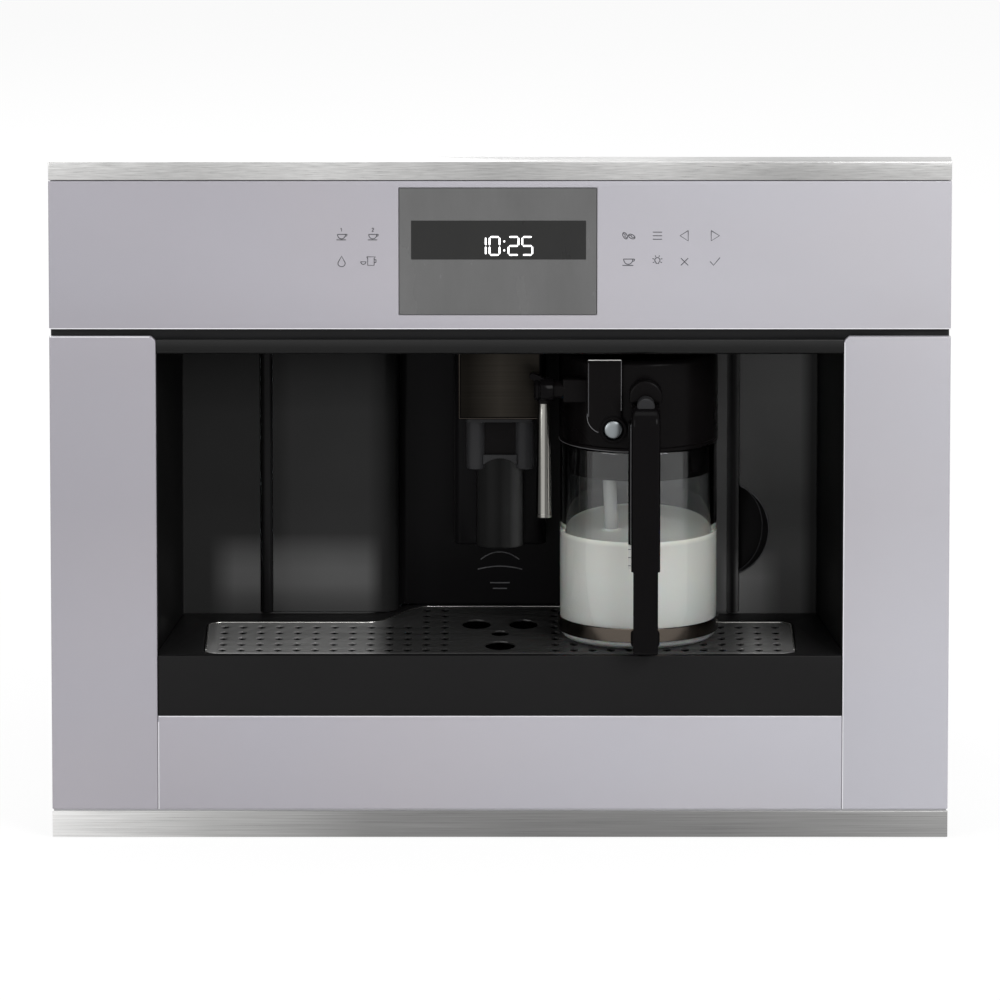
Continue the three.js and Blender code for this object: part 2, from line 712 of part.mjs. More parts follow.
function milkButton() {
  const front = -jugRadius - lidOverhang - 3;
  const height = jugGlassHeight + seat + buttonHeight;
  return rod(buttonRadius, 'y', front, front + buttonThick, buttonX, height, 10);
}

// Side view of the handle: a neck off the lid, the grip, and a foot that reaches the band.
function jugHandle() {
  const lidFront = -jugRadius - lidOverhang - seat;
  const back = -jugY - handleProud + handleThick;
  const front = back - handleThick;
  const foot = 3.2;
  const footTop = bandFoot + bandHeight;
  const round = handleThick - 1;
  const shape = new THREE.Shape();
  shape.moveTo(lidFront, handleTop);
  shape.lineTo(front + round, handleTop);
  shape.absarc(front + round, handleTop - round, round, Math.PI / 2, Math.PI);
  shape.lineTo(front, foot + 4);
  shape.lineTo(front + 4, foot);
  shape.lineTo(back + 2, foot);
  shape.lineTo(-jugRadius - 2 * seat - bandThick, footTop - bandHeight);
  shape.lineTo(-jugRadius - 2 * seat - bandThick, footTop);
  shape.lineTo(back + 3, footTop + 3);
  shape.lineTo(back, footTop + 9);
  shape.lineTo(back, handleTop - handleNeck - 5);
  shape.lineTo(back + 5, handleTop - handleNeck);
  shape.lineTo(lidFront, handleTop - handleNeck);
  const left = handleOffset - handleWidth / 2;
  const plan = roundedRectangle(left, left + handleWidth, front, jugRadius, handleRound);
  const grip = extrude(shape, 'x', left, left + handleWidth, 5).intersect(
    extrude(plan, 'z', 0, handleTop + 1, 3));
  const shave = block(left + handleWidth - 1.4, left + handleWidth + 1, front - 1, back + 2, 0, handleStep);
  const drum = (radius, top) => turned([[0, 0], [radius, 0], [radius, top], [0, top]], jugSides);
  const lidRound = drum(jugRadius + lidOverhang + seat, handleTop + 1);
  const bandRound = drum(jugRadius + bandThick + 2 * seat, handleStep);
  const lug = rod(lugRadius, 'y', front + 8, lidFront - hoodProud - 1, handleOffset, handleTop, 6)
    .intersect(block(-handleWidth, handleWidth, front, 0, handleTop - 2, handleTop + lugRadius));
  return cut(grip.add(lug), shave, lidRound, bandRound);
}

function spoutHead() {
  const left = spoutX - spoutHeadLength / 2;
  const barrel = rod(spoutHeadRadius, 'x', left, left + spoutHeadLength, spoutY, spoutZ, 7);
  const stem = rod(3, 'z', spoutZ - spoutHeadRadius - 5, spoutZ, spoutX, spoutY, 5);
  const tab = extrude(outline([[left + 5, spoutZ + 2], [left - 3.5, spoutZ + 9], [left - 1, spoutZ + 12],
    [left + 10, spoutZ + 6]]), 'y', spoutY - 3, spoutY + 3);
  return join(barrel, stem, tab);
}

function spoutTube() {
  const top = spoutZ - spoutHeadRadius - 1;
  const bottom = top - spoutTubeLength;
  const profile = [[3 + seat, bottom], [spoutTubeBottom, bottom], [spoutTubeBottom, bottom + 2],
    [spoutTubeTop, top - 6], [spoutTubeTop - 0.3, top], [3 + seat, top], [3 + seat, bottom]];
  return turned(profile, 16).translate([spoutX, spoutY, 0]);
}

// ---- case ---------------------------------------------------------------------------------

function basePan() {
  const half = caseHalf - sheet - seat;
  const outer = block(-half, half, linerFront, chassisRear, caseBottom, caseBottom + 18);
  const inner = block(-half + sheet, half - sheet, linerFront + sheet, chassisRear - sheet,
    caseBottom + sheet, caseBottom + 20);
  let pan = cut(outer, inner);
  for (let i = -3; i <= 3; i += 1) {
    pan = pan.subtract(block(i * 60 - 20, i * 60 + 20, 60, 66, caseBottom - 1, caseBottom + sheet + 1));
  }
  return pan;
}

function sideSheet(side) {
  const shape = rectangle(linerFront, chassisRear, caseBottom, caseTop);
  const from = side > 0 ? caseHalf - sheet : -caseHalf;
  let plate = extrude(shape, 'x', from, from + sheet);
  if (side < 0) {
    plate = plate.subtract(block(from - 1, from + sheet + 1, tankFront - 1, tankRear + 1,
      tankShelf, tankTop + tankLidHeight + 2));
  } else {
    for (let i = 0; i < 6; i += 1) {
      plate = plate.subtract(block(from - 1, from + sheet + 1, 210 + i * 22, 216 + i * 22,
        caseTop - 87, caseTop - 27));
    }
  }
  return plate;
}

function topPanel() {
  const half = caseHalf - sheet - seat;
  const bottom = caseTop - sheet;
  const plate = block(-half, half, linerFront, chassisRear, bottom, caseTop);
  const hopperWay = block(hopperX - hopperWidth / 2 + 4, hopperX + hopperWidth / 2 - 4,
    hopperY - hopperLength / 2 + 4, hopperY + hopperLength / 2 - 4, bottom - 1, caseTop + 1);
  const powderWay = block(powderX - powderWidth / 2 + 4, powderX + powderWidth / 2 - 4,
    powderY - powderLength / 2 + 4, powderY + powderLength / 2 - 4, bottom - 1, caseTop + 1);
  return cut(plate, hopperWay, powderWay);
}

const inletX = 190;
const inletZ = 66;
const rockerX = 145;

function rearPanel() {
  const half = caseHalf;
  const front = bodyDepth - sheet;
  let plate = extrude(rectangle(-half, half, caseBottom, caseTop), 'y', front, bodyDepth);
  plate = plate.subtract(block(inletX - 14, inletX + 14, front - 1, bodyDepth + 1, inletZ - 10, inletZ + 10));
  plate = plate.subtract(block(rockerX - 8, rockerX + 8, front - 1, bodyDepth + 1, inletZ - 12, inletZ + 12));
  for (let i = -4; i <= 4; i += 1) {
    plate = plate.subtract(block(i * 34 - 3, i * 34 + 3, front - 1, bodyDepth + 1,
      caseTop - 137, caseTop - 57));
  }
  return plate;
}

// Bent sheet inside the case: the raised shelf of the tank, then the shelf of the brewing parts.
function innerChassis() {
  const left = -caseHalf + 2 * (sheet + seat);
  const right = caseHalf - 24;
  const step = tankInner + 6;
  const foot = caseBottom + sheet + seat;
  const shape = outline([[left, foot], [left + sheet, foot], [left + sheet, tankShelf - sheet],
    [step - sheet, tankShelf - sheet], [step - sheet, shelfTop - sheet], [right - sheet, shelfTop - sheet],
    [right - sheet, foot], [right, foot], [right, shelfTop], [step, shelfTop], [step, tankShelf],
    [left, tankShelf]]);
  return extrude(shape, 'y', recessDepth + 12, chassisRear - sheet - 2);
}

// ---- bean path ----------------------------------------------------------------------------

const knobX = hopperX - 40;
const knobY = hopperY + 48;
const knobBottom = hopperTop - 20;

function beanHopper() {
  const [w, l] = [hopperWidth / 2, hopperLength / 2];
  const top = hopperTop;
  const throat = top - hopperHeight;
  const outer = extrude(rectangle(hopperX - w, hopperX + w, hopperY - l, hopperY + l), 'z', throat + 24, top);
  const inner = extrude(rectangle(hopperX - w + wall, hopperX + w - wall, hopperY - l + wall,
    hopperY + l - wall), 'z', throat + 24, top + 1);
  const funnel = new THREE.CylinderGeometry(w * 1.38, hopperThroat + wall, 24 + 0.02, 4, 1);
  funnel.rotateY(Math.PI / 4).rotateX(Math.PI / 2).translate(hopperX, hopperY, throat + 12);
  const mouth = new THREE.CylinderGeometry(w * 1.38 - wall - 1, hopperThroat, 24.2, 4, 1);
  mouth.rotateY(Math.PI / 4).rotateX(Math.PI / 2).translate(hopperX, hopperY, throat + 12 + 0.05);
  const neck = rod(hopperThroat, 'z', throat - 2, throat + 1, hopperX, hopperY, 8);
  const neckBore = rod(hopperThroat - wall - 4, 'z', throat - 3, throat + 12, hopperX, hopperY, 8);
  const knobShelf = block(hopperX - w + 1, knobX + knobRadius + 3, knobY - knobRadius - 3, hopperY + l - 1,
    throat + 23, knobBottom - seat);
  return join(cut(join(outer.subtract(inner), solid(funnel), neck), solid(mouth), neckBore), knobShelf);
}

function hopperLid() {
  const [w, l] = [hopperWidth / 2, hopperLength / 2];
  const bottom = caseTop + seat;
  const plate = extrude(roundedRectangle(hopperX - w, hopperX + w, hopperY - l, hopperY + l, 6),
    'z', bottom, bottom + lidThick, 3);
  const gripShape = outline([[hopperY - l - 6, bottom], [hopperY - l + 2, bottom],
    [hopperY - l + 2, bottom + lidThick], [hopperY - l - 6, bottom + lidThick - 1]]);
  const grip = extrude(gripShape, 'x', hopperX - 20, hopperX + 20);
  return plate.add(grip);
}

function powderLid() {
  const [w, l] = [powderWidth / 2, powderLength / 2];
  const bottom = caseTop + seat;
  const plate = extrude(roundedRectangle(powderX - w, powderX + w, powderY - l, powderY + l, 5),
    'z', bottom, bottom + lidThick, 3);
  const grip = block(powderX - 10, powderX + 10, powderY - l - 4, powderY - l + 2, bottom, bottom + 2);
  return plate.add(grip);
}

// Chute for ground coffee, from the lid in the top down to the brewing chamber.
function powderChute() {
  const [w, l] = [powderWidth / 2, powderLength / 2];
  const top = caseTop - sheet - seat;
  const collar = block(powderX - w, powderX + w, powderY - l, powderY + l, top - 12, top);
  const collarWay = block(powderX - w + wall, powderX + w - wall, powderY - l + wall, powderY + l - wall,
    top - 12, top + 1);
  const slope = (grow, high, low) => extrude(outline([[powderX - w + wall - grow, high],
    [powderX + w - wall + grow, high], [brewX - 14 + grow, low], [brewX - 34 - grow, low]]),
  'y', powderY - 18 - grow, powderY + 2 + grow);
  const floor = block(powderX - w, powderX + w, powderY - l, powderY + l, top - 14, top - 12);
  return cut(join(collar, floor, slope(wall, top - 11, brewTop + 2)), collarWay,
    slope(0, top - 9, brewTop));
}

function grindKnob() {
  const [x, y, bottom] = [knobX, knobY, knobBottom];
  let knob = turned([[0, 0], [knobRadius, 0], [knobRadius, 9], [knobRadius - 2, 12], [0, 12]], 20)
    .translate([x, y, bottom]);
  const grips = 6;
  for (let i = 0; i < grips; i += 1) {
    const angle = 2 * Math.PI / grips * i;
    knob = knob.subtract(rod(1.2, 'z', bottom + 2, bottom + 13,
      x + knobRadius * Math.cos(angle), y + knobRadius * Math.sin(angle), 3));
  }
  return knob;
}

function grinderBody() {
  const bottom = grinderTop - grinderHeight;
  const body = turned([[0, bottom], [grinderRadius - 6, bottom], [grinderRadius, bottom + 8],
    [grinderRadius, grinderTop], [0, grinderTop]], 20).translate([hopperX, hopperY, 0]);
  const throat = rod(hopperThroat - wall - 4, 'z', burrTop - 1, grinderTop + 1, hopperX, hopperY, 8);
  const chamber = rod(burrRadius + 1, 'z', burrTop - burrHeight - 1, burrTop + 4, hopperX, hopperY, 10);
  const outletLow = burrTop - burrHeight - 4;
  const outlet = join(
    block(brewX + 20, hopperX - burrRadius + 4, hopperY - 12, hopperY - 2, outletLow, burrTop - 2),
    block(brewX + 20, brewX + 38, hopperY - 12, hopperY - 2, brewTop + seat, outletLow + 1));
  const outletWay = join(
    block(brewX + 22, hopperX - burrRadius + 6, hopperY - 10, hopperY - 4, outletLow + 3, burrTop - 4),
    block(brewX + 22, brewX + 36, hopperY - 10, hopperY - 4, brewTop, outletLow + 4));
  const motor = rod(26, 'z', bottom - 30, bottom + 2, hopperX, hopperY, 8);
  return cut(join(body, outlet, motor), throat, chamber, outletWay);
}

// The turning burr: a toothed cone.
function lowerBurr() {
  const bottom = burrTop - burrHeight - 1 + seat;
  let burr = turned([[0, 0], [burrRadius, 0], [burrRadius, 5], [8, burrHeight - 1], [0, burrHeight - 1]], 16);
  const teeth = 8;
  for (let i = 0; i < teeth; i += 1) {
    const groove = block(9, burrRadius + 2, -1.2, 1.2, 3.5, burrHeight + 2);
    burr = burr.subtract(groove.rotate([0, 0, 360 / teeth * i]));
  }
  return burr.translate([hopperX, hopperY, bottom]);
}

// ---- brewing ------------------------------------------------------------------------------

// Frame of the brewing unit: two cheeks, a head with the fixed piston, and the spindle's bearings.
function brewFrame() {
  const [w, l] = [brewWidth / 2, brewLength / 2];
  const foot = shelfTop + seat;
  const cheek = 4;
  const shape = rectangle(brewX - w, brewX + w, foot, brewTop);
  const space = rectangle(brewX - w + cheek, brewX + w - cheek, foot - 1, brewTop - 8);
  const shell = cut(extrude(shape, 'y', brewY - l, brewY + l),
    extrude(space, 'y', brewY - l - 1, brewY + l + 1));
  const pistonFoot = chamberBase + chamberFloor + brewLift + puckHeight;
  const piston = rod(chamberRadius - chamberWall - 0.5, 'z', pistonFoot, brewTop - 7, brewX, brewY, 8);
  const bridge = block(brewX - w + 1, brewX + w - 1, brewY - 24, brewY + 24,
    chamberBase - 12, chamberBase - 6);
  const topBearing = rod(spindleRadius + 3.5, 'z', brewTop - 16, brewTop - 7,
    brewX + spindleOffset, brewY, 6);
  const bore = rod(spindleRadius - 1 + 0.4, 'z', brewTop - 17, brewTop - 10, brewX + spindleOffset, brewY, 6);
  const lowBore = rod(spindleRadius - 1 + 0.4, 'z', chamberBase - 20, chamberBase - 5,
    brewX + spindleOffset, brewY, 6);
  const drop = block(brewX - 36, brewX - 12, powderY - 19, powderY + 3, brewTop - 9, brewTop + 1);
  const grinderDrop = block(brewX + 22, brewX + 36, hopperY - 10, hopperY - 4, brewTop - 9, brewTop + 1);
  const motor = rod(motorRadius, 'z', chamberBase - 42, chamberBase - 11,
    brewX + spindleOffset, brewY, 8);
  return cut(join(shell, piston, bridge, topBearing, motor), bore, lowBore, drop, grinderDrop);
}

function brewChamber() {
  const cup = turned([[0, 0], [chamberRadius, 0], [chamberRadius, chamberHeight],
    [chamberRadius - chamberWall, chamberHeight], [chamberRadius - chamberWall, chamberFloor],
    [0, chamberFloor]], 16)
    .translate([brewX, brewY, chamberBase]);
  const arm = block(brewX + chamberRadius - 2, brewX + spindleOffset + 2, brewY - 6, brewY + 6,
    chamberBase, chamberBase + 12);
  const nut = rod(spindleRadius + 3, 'z', chamberBase, chamberBase + 12, brewX + spindleOffset, brewY, 6);
  const bore = rod(spindleRadius + 0.4, 'z', chamberBase - 1, chamberBase + 13,
    brewX + spindleOffset, brewY, 6);
  return cut(join(cup, arm, nut), bore);
}

function brewSpindle() {
  const low = chamberBase - 5.7;
  const high = brewTop - 16.3;
  const screw = rod(spindleRadius, 'z', low, high, brewX + spindleOffset, brewY, 6);
  const journal = rod(spindleRadius - 1, 'z', low - 14, brewTop - 10.3, brewX + spindleOffset, brewY, 6);
  return join(screw, journal);
}

function groundsContainer() {
  const half = brewWidth / 2 - 5;
  const foot = shelfTop + seat;
  const [y0, y1] = [brewY - brewLength / 2 + 2, brewY + brewLength / 2 - 2];
  const outer = extrude(roundedRectangle(brewX - half, brewX + half, y0, y1, 6), 'z', foot, foot + 44, 2);
  const inner = extrude(roundedRectangle(brewX - half + 2, brewX + half - 2, y0 + 2, y1 - 2, 4),
    'z', foot + 2, foot + 46, 2);
  return cut(outer, inner);
}

// ---- water and steam ----------------------------------------------------------------------

function waterTank() {
  const outer = extrude(roundedRectangle(tankFront, tankRear, tankBase, tankTop, 8), 'x',
    tankOuter, tankInner, 2);
  const inner = extrude(roundedRectangle(tankFront + tankWall, tankRear - tankWall, tankBase + tankWall,
    tankTop + 20, 6), 'x', tankOuter + tankWall, tankInner - tankWall, 2);
  const gripZ = tankTop - 50;
  const gripY = (tankFront + tankRear) / 2;
  const gripShell = block(tankOuter, tankOuter + 16, gripY - 42, gripY + 42, gripZ - 16, gripZ + 16);
  const grip = block(tankOuter - 1, tankOuter + 14, gripY - 40, gripY + 40, gripZ - 14, gripZ + 14);
  const valve = rod(6, 'x', tankInner - tankWall - 1, tankInner + 4, gripY, tankBase + 12, 5);
  const bore = rod(3, 'x', tankInner - 8, tankInner + 5, gripY, tankBase + 12, 4);
  return cut(join(cut(outer, inner), gripShell, valve), grip, bore);
}

function tankLid() {
  const bottom = tankTop + seat;
  const plate = extrude(roundedRectangle(tankOuter + 2, tankInner - 2, tankFront + 2, tankRear - 2, 6),
    'z', bottom, bottom + tankLidHeight - 1, 2);
  const rib = block(tankOuter + 20, tankInner - 20, tankFront + 80, tankFront + 110,
    bottom, bottom + tankLidHeight);
  return plate.add(rib);
}

// Socket on the shelf's step that the tank's valve pushes into.
function tankCoupler() {
  const y = (tankFront + tankRear) / 2;
  const z = tankBase + 12;
  const from = tankInner + 6 + seat;
  const body = block(from, from + 20, y - 14, y + 14, shelfTop + seat, z + 12);
  const collar = rod(9.5, 'x', tankInner + seat, from + 1, y, z, 6);
  const socket = rod(6.4, 'x', tankInner - 1, from + 8, y, z, 6);
  const outlet = rod(3.2, 'x', from + 5, from + 30, y, z, 5);
  return cut(join(body, cut(collar, block(tankInner, from - 0.01, y - 12, y + 12, 0, tankShelf + seat)),
    rod(4.2, 'x', from + 18, from + 28, y, z, 5)), socket, outlet);
}

const pumpX = caseHalf - 89;
const pumpY = bodyDepth - 78;
const pumpNose = 40; // from the pump's middle to its outlet

function waterPump() {
  const z = shelfTop + seat + 30;
  const coil = rod(22, 'y', pumpY - 28, pumpY + 28, pumpX, z, 8);
  const nose = rod(8, 'y', pumpY - pumpNose, pumpY - 27, pumpX, z, 6);
  const tail = rod(6, 'y', pumpY + 27, pumpY + 44, pumpX, z, 6);
  const cradle = block(pumpX - 20, pumpX + 20, pumpY - 20, pumpY + 20, shelfTop + seat, z - 12);
  return join(coil, nose, tail, cradle);
}

const boilerX = caseHalf - 86;
const boilerY = 225;
const boilerBottom = 190;
const boilerRadius = 38;
const boilerFins = 3;

function steamBoiler() {
  const bottom = boilerBottom;
  const profile = [[0, 0], [34, 0], [boilerRadius, 5]];
  for (let i = 1; i <= boilerFins; i += 1) {
    const z = i * 80 / (boilerFins + 1);
    profile.push([boilerRadius, z - 1.5], [boilerRadius + 3, z - 1.5],
      [boilerRadius + 3, z + 1.5], [boilerRadius, z + 1.5]);
  }
  profile.push([boilerRadius, 75], [34, 80], [0, 80]);
  const body = turned(profile, 16).translate([boilerX, boilerY, bottom]);
  const stand = block(boilerX - 30, boilerX + 30, boilerY - 15, boilerY - 9, shelfTop + seat, bottom + 2);
  const flange = block(boilerX - 30, boilerX + 30, boilerY - 18, boilerY + 18, shelfTop + seat, shelfTop + 3);
  return join(body, stand, flange);
}

function steamNozzle() {
  const z = jugBase + dockHeight;
  const front = nicheDepth - 26;
  const valveFront = recessDepth + 6;
  const tubePart = rod(dockRadius, 'y', front, valveFront + 18, jugX, z, 6);
  const bore = rod(2, 'y', front - 1, valveFront + 12, jugX, z, 4);
  const valve = block(jugX - 16, jugX + 16, valveFront, valveFront + 22, z - 16, z + 14);
  const mount = block(jugX - 10, jugX + 10, valveFront + 6, valveFront + 18, shelfTop + seat, z - 14);
  return cut(join(tubePart, valve, mount), bore);
}

function waterHose() {
  const y = (tankFront + tankRear) / 2;
  const z = tankBase + 12;
  const start = tankInner + 6 + seat + 28 + seat;
  const lane = pumpY + 62; // along the rear panel
  return tube([[start, y, z], [start + 8, y, z], [start + 20, y + 6, z], [brewX - 48, lane - 52, z - 8],
    [brewX + 32, lane - 30, z - 8], [pumpX - 65, lane - 7, z - 8], [pumpX - 14, lane, z - 6],
    [pumpX, pumpY + 44 + seat + 6, shelfTop + seat + 30],
    [pumpX, pumpY + 44 + seat, shelfTop + seat + 30]], 3.5);
}

function pressureHose() {
  const z = shelfTop + seat + 30;
  const start = pumpY - pumpNose - seat;
  const inlet = boilerY + 25;
  return tube([[pumpX, start, z], [pumpX, start - 6, z], [pumpX, start - 12, z + 10],
    [pumpX, start - 12, boilerBottom - 30], [pumpX, inlet, boilerBottom - 12],
    [pumpX, inlet, boilerBottom - seat]], 2.5);
}

// ---- electrics ----------------------------------------------------------------------------

// Board behind the control panel: it carries the display in its housing and the touch keys.
function controlBoard() {
  const y = frameFront + frameFace + seat;
  const sheetShape = rectangle(-boardHalf, boardHalf, controlBottom + 18, controlTop - 14);
  const board = extrude(sheetShape, 'y', y, y + 1.6);
  const screen = extrude(rectangle(...displayBox(-6)), 'y', frameFront, y + 1);
  const glassBed = extrude(rectangle(...displayBox(-12)), 'y', frameFront - 1, frameFront + 2);
  const chips = extrude(rectangle(100, 130, controlBottom + 36, controlTop - 36), 'y', y + 1, y + 4);
  return cut(join(board, screen, chips), glassBed);
}

const boardRearGap = 48; // power board to the rear panel
const boardDrop = 50; // its lower edge under the boiler's

function powerBoard() {
  const x = caseHalf - 14;
  const span = 150;
  const [y0, z0] = [bodyDepth - boardRearGap - span, boilerBottom - boardDrop];
  const [y1, z1] = [y0 + span, z0 + span];
  const board = block(x, x + 2, y0, y1, z0, z1);
  const coil = block(x - 26, x + 1, y0 + 15, y0 + 55, z0 + 20, z0 + 60);
  const relays = block(x - 16, x + 1, y0 + 70, y1 - 20, z1 - 60, z1 - 40);
  const caps = rod(9, 'x', x - 24, x + 1, y0 + 90, z0 + 40, 6);
  let joined = join(board, coil, relays, caps);
  for (const y of [y0 + 6, y1 - 6]) {
    for (const z of [z0 + 6, z1 - 6]) {
      joined = joined.add(rod(3, 'x', x + 1, caseHalf - sheet - seat, y, z, 4));
    }
  }
  return joined;
}

function mainsInlet() {
  const rear = bodyDepth - 0.4;
  const flange = block(inletX - 13.5, inletX + 13.5, rear - 22, rear, inletZ - 9.5, inletZ + 9.5);
  const socket = block(inletX - 10, inletX + 10, rear - 16, rear + 1, inletZ - 7, inletZ + 7);
  const rockerCase = block(rockerX - 7.6, rockerX + 7.6, rear - 22, rear, inletZ - 11.6, inletZ + 11.6);
  const rockerWell = block(rockerX - 5.8, rockerX + 5.8, rear - 12, rear + 1, inletZ - 9.8, inletZ + 9.8);
  const carrier = block(rockerX - 7.6, inletX + 13.5, rear - 24, rear - 20, inletZ - 9.5, inletZ + 9.5);
  let inlet = cut(join(flange, rockerCase, carrier), socket, rockerWell);
  for (const i of [-1, 0, 1]) {
    inlet = inlet.add(block(inletX + i * 6 - 1, inletX + i * 6 + 1, rear - 17, rear - 4,
      inletZ - 2, inletZ + 2));
  }
  return inlet;
}

const rockerPivot = bodyDepth - 7;
const rockerTilt = 14; // whole travel of the rocker, in degrees

function powerRocker() {
  const shape = outline([[-2, -6], [3, -8.6], [5.2, -8.6], [3.6, 0], [5.2, 8.6], [3, 8.6], [-2, 6]]);
  return extrude(shape, 'x', -5.4, 5.4).rotate([-rockerTilt / 2, 0, 0])
    .translate([rockerX, rockerPivot, inletZ]);
}

// ---- runners ------------------------------------------------------------------------------

// One channel of a telescopic runner, open towards the case or away from it.
function channel(webFrom, webTo, reach, bottom, top) {
  const flangeFrom = Math.min(webFrom, reach);
  const flangeTo = Math.max(webTo, reach);
  const shape = rectangle(flangeFrom, flangeTo, bottom, top);
  const inner = webFrom > reach
    ? rectangle(flangeFrom - 1, webFrom, bottom + runnerSheet, top - runnerSheet)
    : rectangle(webTo, flangeTo + 1, bottom + runnerSheet, top - runnerSheet);
  return cut(extrude(shape, 'y', runnerFront, runnerFront + runnerLength),
    extrude(inner, 'y', runnerFront - 1, runnerFront + runnerLength + 1));
}

const cabinetFace = caseHalf + cabinetGap;
const runnerTop = runnerBottom + runnerHeight;

function fixedRunner() {
  const web = cabinetFace - footThick;
  const member = channel(web - runnerSheet, web, caseHalf + 2, runnerBottom, runnerTop);
  const plate = block(web - 0.1, cabinetFace, runnerFront, runnerFront + runnerLength, 0, runnerTop);
  const foot = block(cabinetFace - footWidth, cabinetFace, runnerFront, runnerFront + runnerLength,
    0, footThick);
  let runner = join(member, plate, foot);
  for (const y of [runnerFront + 40, runnerFront + runnerLength - 40]) {
    runner = runner.subtract(rod(2.5, 'z', -1, footThick + 1, cabinetFace - footWidth + 12, y, 5));
  }
  return runner;
}

function middleRunner() {
  const web = cabinetFace - footThick - runnerSheet - 2.4;
  return channel(web - runnerSheet, web, caseHalf + 2, runnerBottom + runnerSheet + runnerNest,
    runnerTop - runnerSheet - runnerNest);
}

function innerRunner() {
  const step = 2 * (runnerSheet + runnerNest);
  const web = caseHalf + seat;
  const reach = cabinetFace - footThick - 2 * runnerSheet - 3.6;
  return channel(web, web + runnerSheet, reach, runnerBottom + step, runnerTop - step);
}

function mirrored(shape) {
  return shape.mirror([1, 0, 0]);
}

// ---- assembly -----------------------------------------------------------------------------

const coffeeMachine = new THREE.Group();
const machine = new THREE.Group();
machine.position.y = -totalDepth / 2 + handleProud;
coffeeMachine.add(machine);

place(machine, 'front_frame', frontFrame(), 'blackPlastic');
place(machine, 'top_trim', trimStrip(frontHeight, trimHeightTop), 'brushedSteel');
place(machine, 'bottom_trim', trimStrip(0, trimHeightBottom), 'brushedSteel');
place(machine, 'control_panel', controlPanel(), 'lilacGlass');
place(machine, 'display_window', displayWindow(), 'smokedGlass');
place(machine, 'left_side_panel', sidePanel(-1), 'lilacGlass');
place(machine, 'right_side_panel', sidePanel(1), 'lilacGlass');
place(machine, 'lower_panel', lowerPanel(), 'lilacGlass');
place(machine, 'niche_bezel', nicheBezel(), 'glossBlack');
place(machine, 'control_board', controlBoard(), 'board');

place(machine, 'niche_liner', nicheLiner(), 'blackPlastic');
place(machine, 'service_door', serviceDoor(), 'blackPlastic');
place(machine, 'door_hinge_post', hingePost(), 'glossBlack');
place(machine, 'coffee_outlet_housing', outletHousing(), 'glossBlack');
place(machine, 'coffee_nozzles', outletNozzles(), 'greyPlastic');
place(machine, 'steam_nozzle', steamNozzle(), 'chrome');
place(machine, 'drip_tray', dripTray(), 'blackPlastic');
place(machine, 'drip_grille', dripGrille(), 'brushedSteel');

place(machine, 'base_pan', basePan(), 'zincSheet');
place(machine, 'left_side_sheet', sideSheet(-1), 'zincSheet');
place(machine, 'right_side_sheet', sideSheet(1), 'zincSheet');
place(machine, 'top_panel', topPanel(), 'zincSheet');
place(machine, 'rear_panel', rearPanel(), 'zincSheet');
place(machine, 'inner_chassis', innerChassis(), 'zincSheet');

place(machine, 'bean_hopper', beanHopper(), 'clearPlastic');
place(machine, 'hopper_lid', hopperLid(), 'blackPlastic');
place(machine, 'powder_lid', powderLid(), 'blackPlastic');
place(machine, 'powder_chute', powderChute(), 'blackPlastic');
place(machine, 'grind_knob', grindKnob(), 'greyPlastic');
place(machine, 'grinder_body', grinderBody(), 'greyPlastic');
place(machine, 'lower_burr', lowerBurr(), 'aluminium');
place(machine, 'brew_frame', brewFrame(), 'greyPlastic');
place(machine, 'brew_chamber', brewChamber(), 'blackPlastic');
place(machine, 'brew_spindle', brewSpindle(), 'aluminium');
place(machine, 'grounds_container', groundsContainer(), 'blackPlastic');

place(machine, 'water_tank', waterTank(), 'clearPlastic');
place(machine, 'tank_lid', tankLid(), 'blackPlastic');
place(machine, 'tank_coupler', tankCoupler(), 'greyPlastic');
place(machine, 'water_pump', waterPump(), 'aluminium');
place(machine, 'steam_boiler', steamBoiler(), 'aluminium');
place(machine, 'water_hose', waterHose(), 'hose');
place(machine, 'pressure_hose', pressureHose(), 'hose');

place(machine, 'power_board', powerBoard(), 'board');
place(machine, 'mains_inlet', mainsInlet(), 'blackPlastic');
place(machine, 'power_rocker', powerRocker(), 'blackPlastic');

for (const [side, turn] of [['right', (shape) => shape], ['left', mirrored]]) {
  place(machine, `${side}_fixed_runner`, turn(fixedRunner()), 'zincSheet');
  place(machine, `${side}_middle_runner`, turn(middleRunner()), 'zincSheet');
  place(machine, `${side}_inner_runner`, turn(innerRunner()), 'zincSheet');
}

const jug = new THREE.Group();
jug.position.set(jugX, jugY, jugBase);
machine.add(jug);
place(jug, 'jug_glass', jugGlass(), 'clearGlass');
place(jug, 'jug_band', jugBand(), 'chrome');
place(jug, 'jug_milk', milkBody(), 'milk');
place(jug, 'jug_lid', jugLid(), 'blackPlastic');
place(jug, 'jug_handle', jugHandle(), 'glossBlack');
place(jug, 'milk_button', milkButton(), 'chrome');
place(jug, 'suction_tube', suctionTube(), 'clearPlastic');
place(jug, 'milk_spout_head', spoutHead(), 'blackPlastic');
place(jug, 'milk_spout_tube', spoutTube(), 'chrome');

export default coffeeMachine;
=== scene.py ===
# Built-in coffee machine: finishes, fine pieces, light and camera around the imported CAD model.
# Metres, in the CAD model's own frame: the front looks along -Y.
import math
import bpy
from mathutils import Matrix, Vector


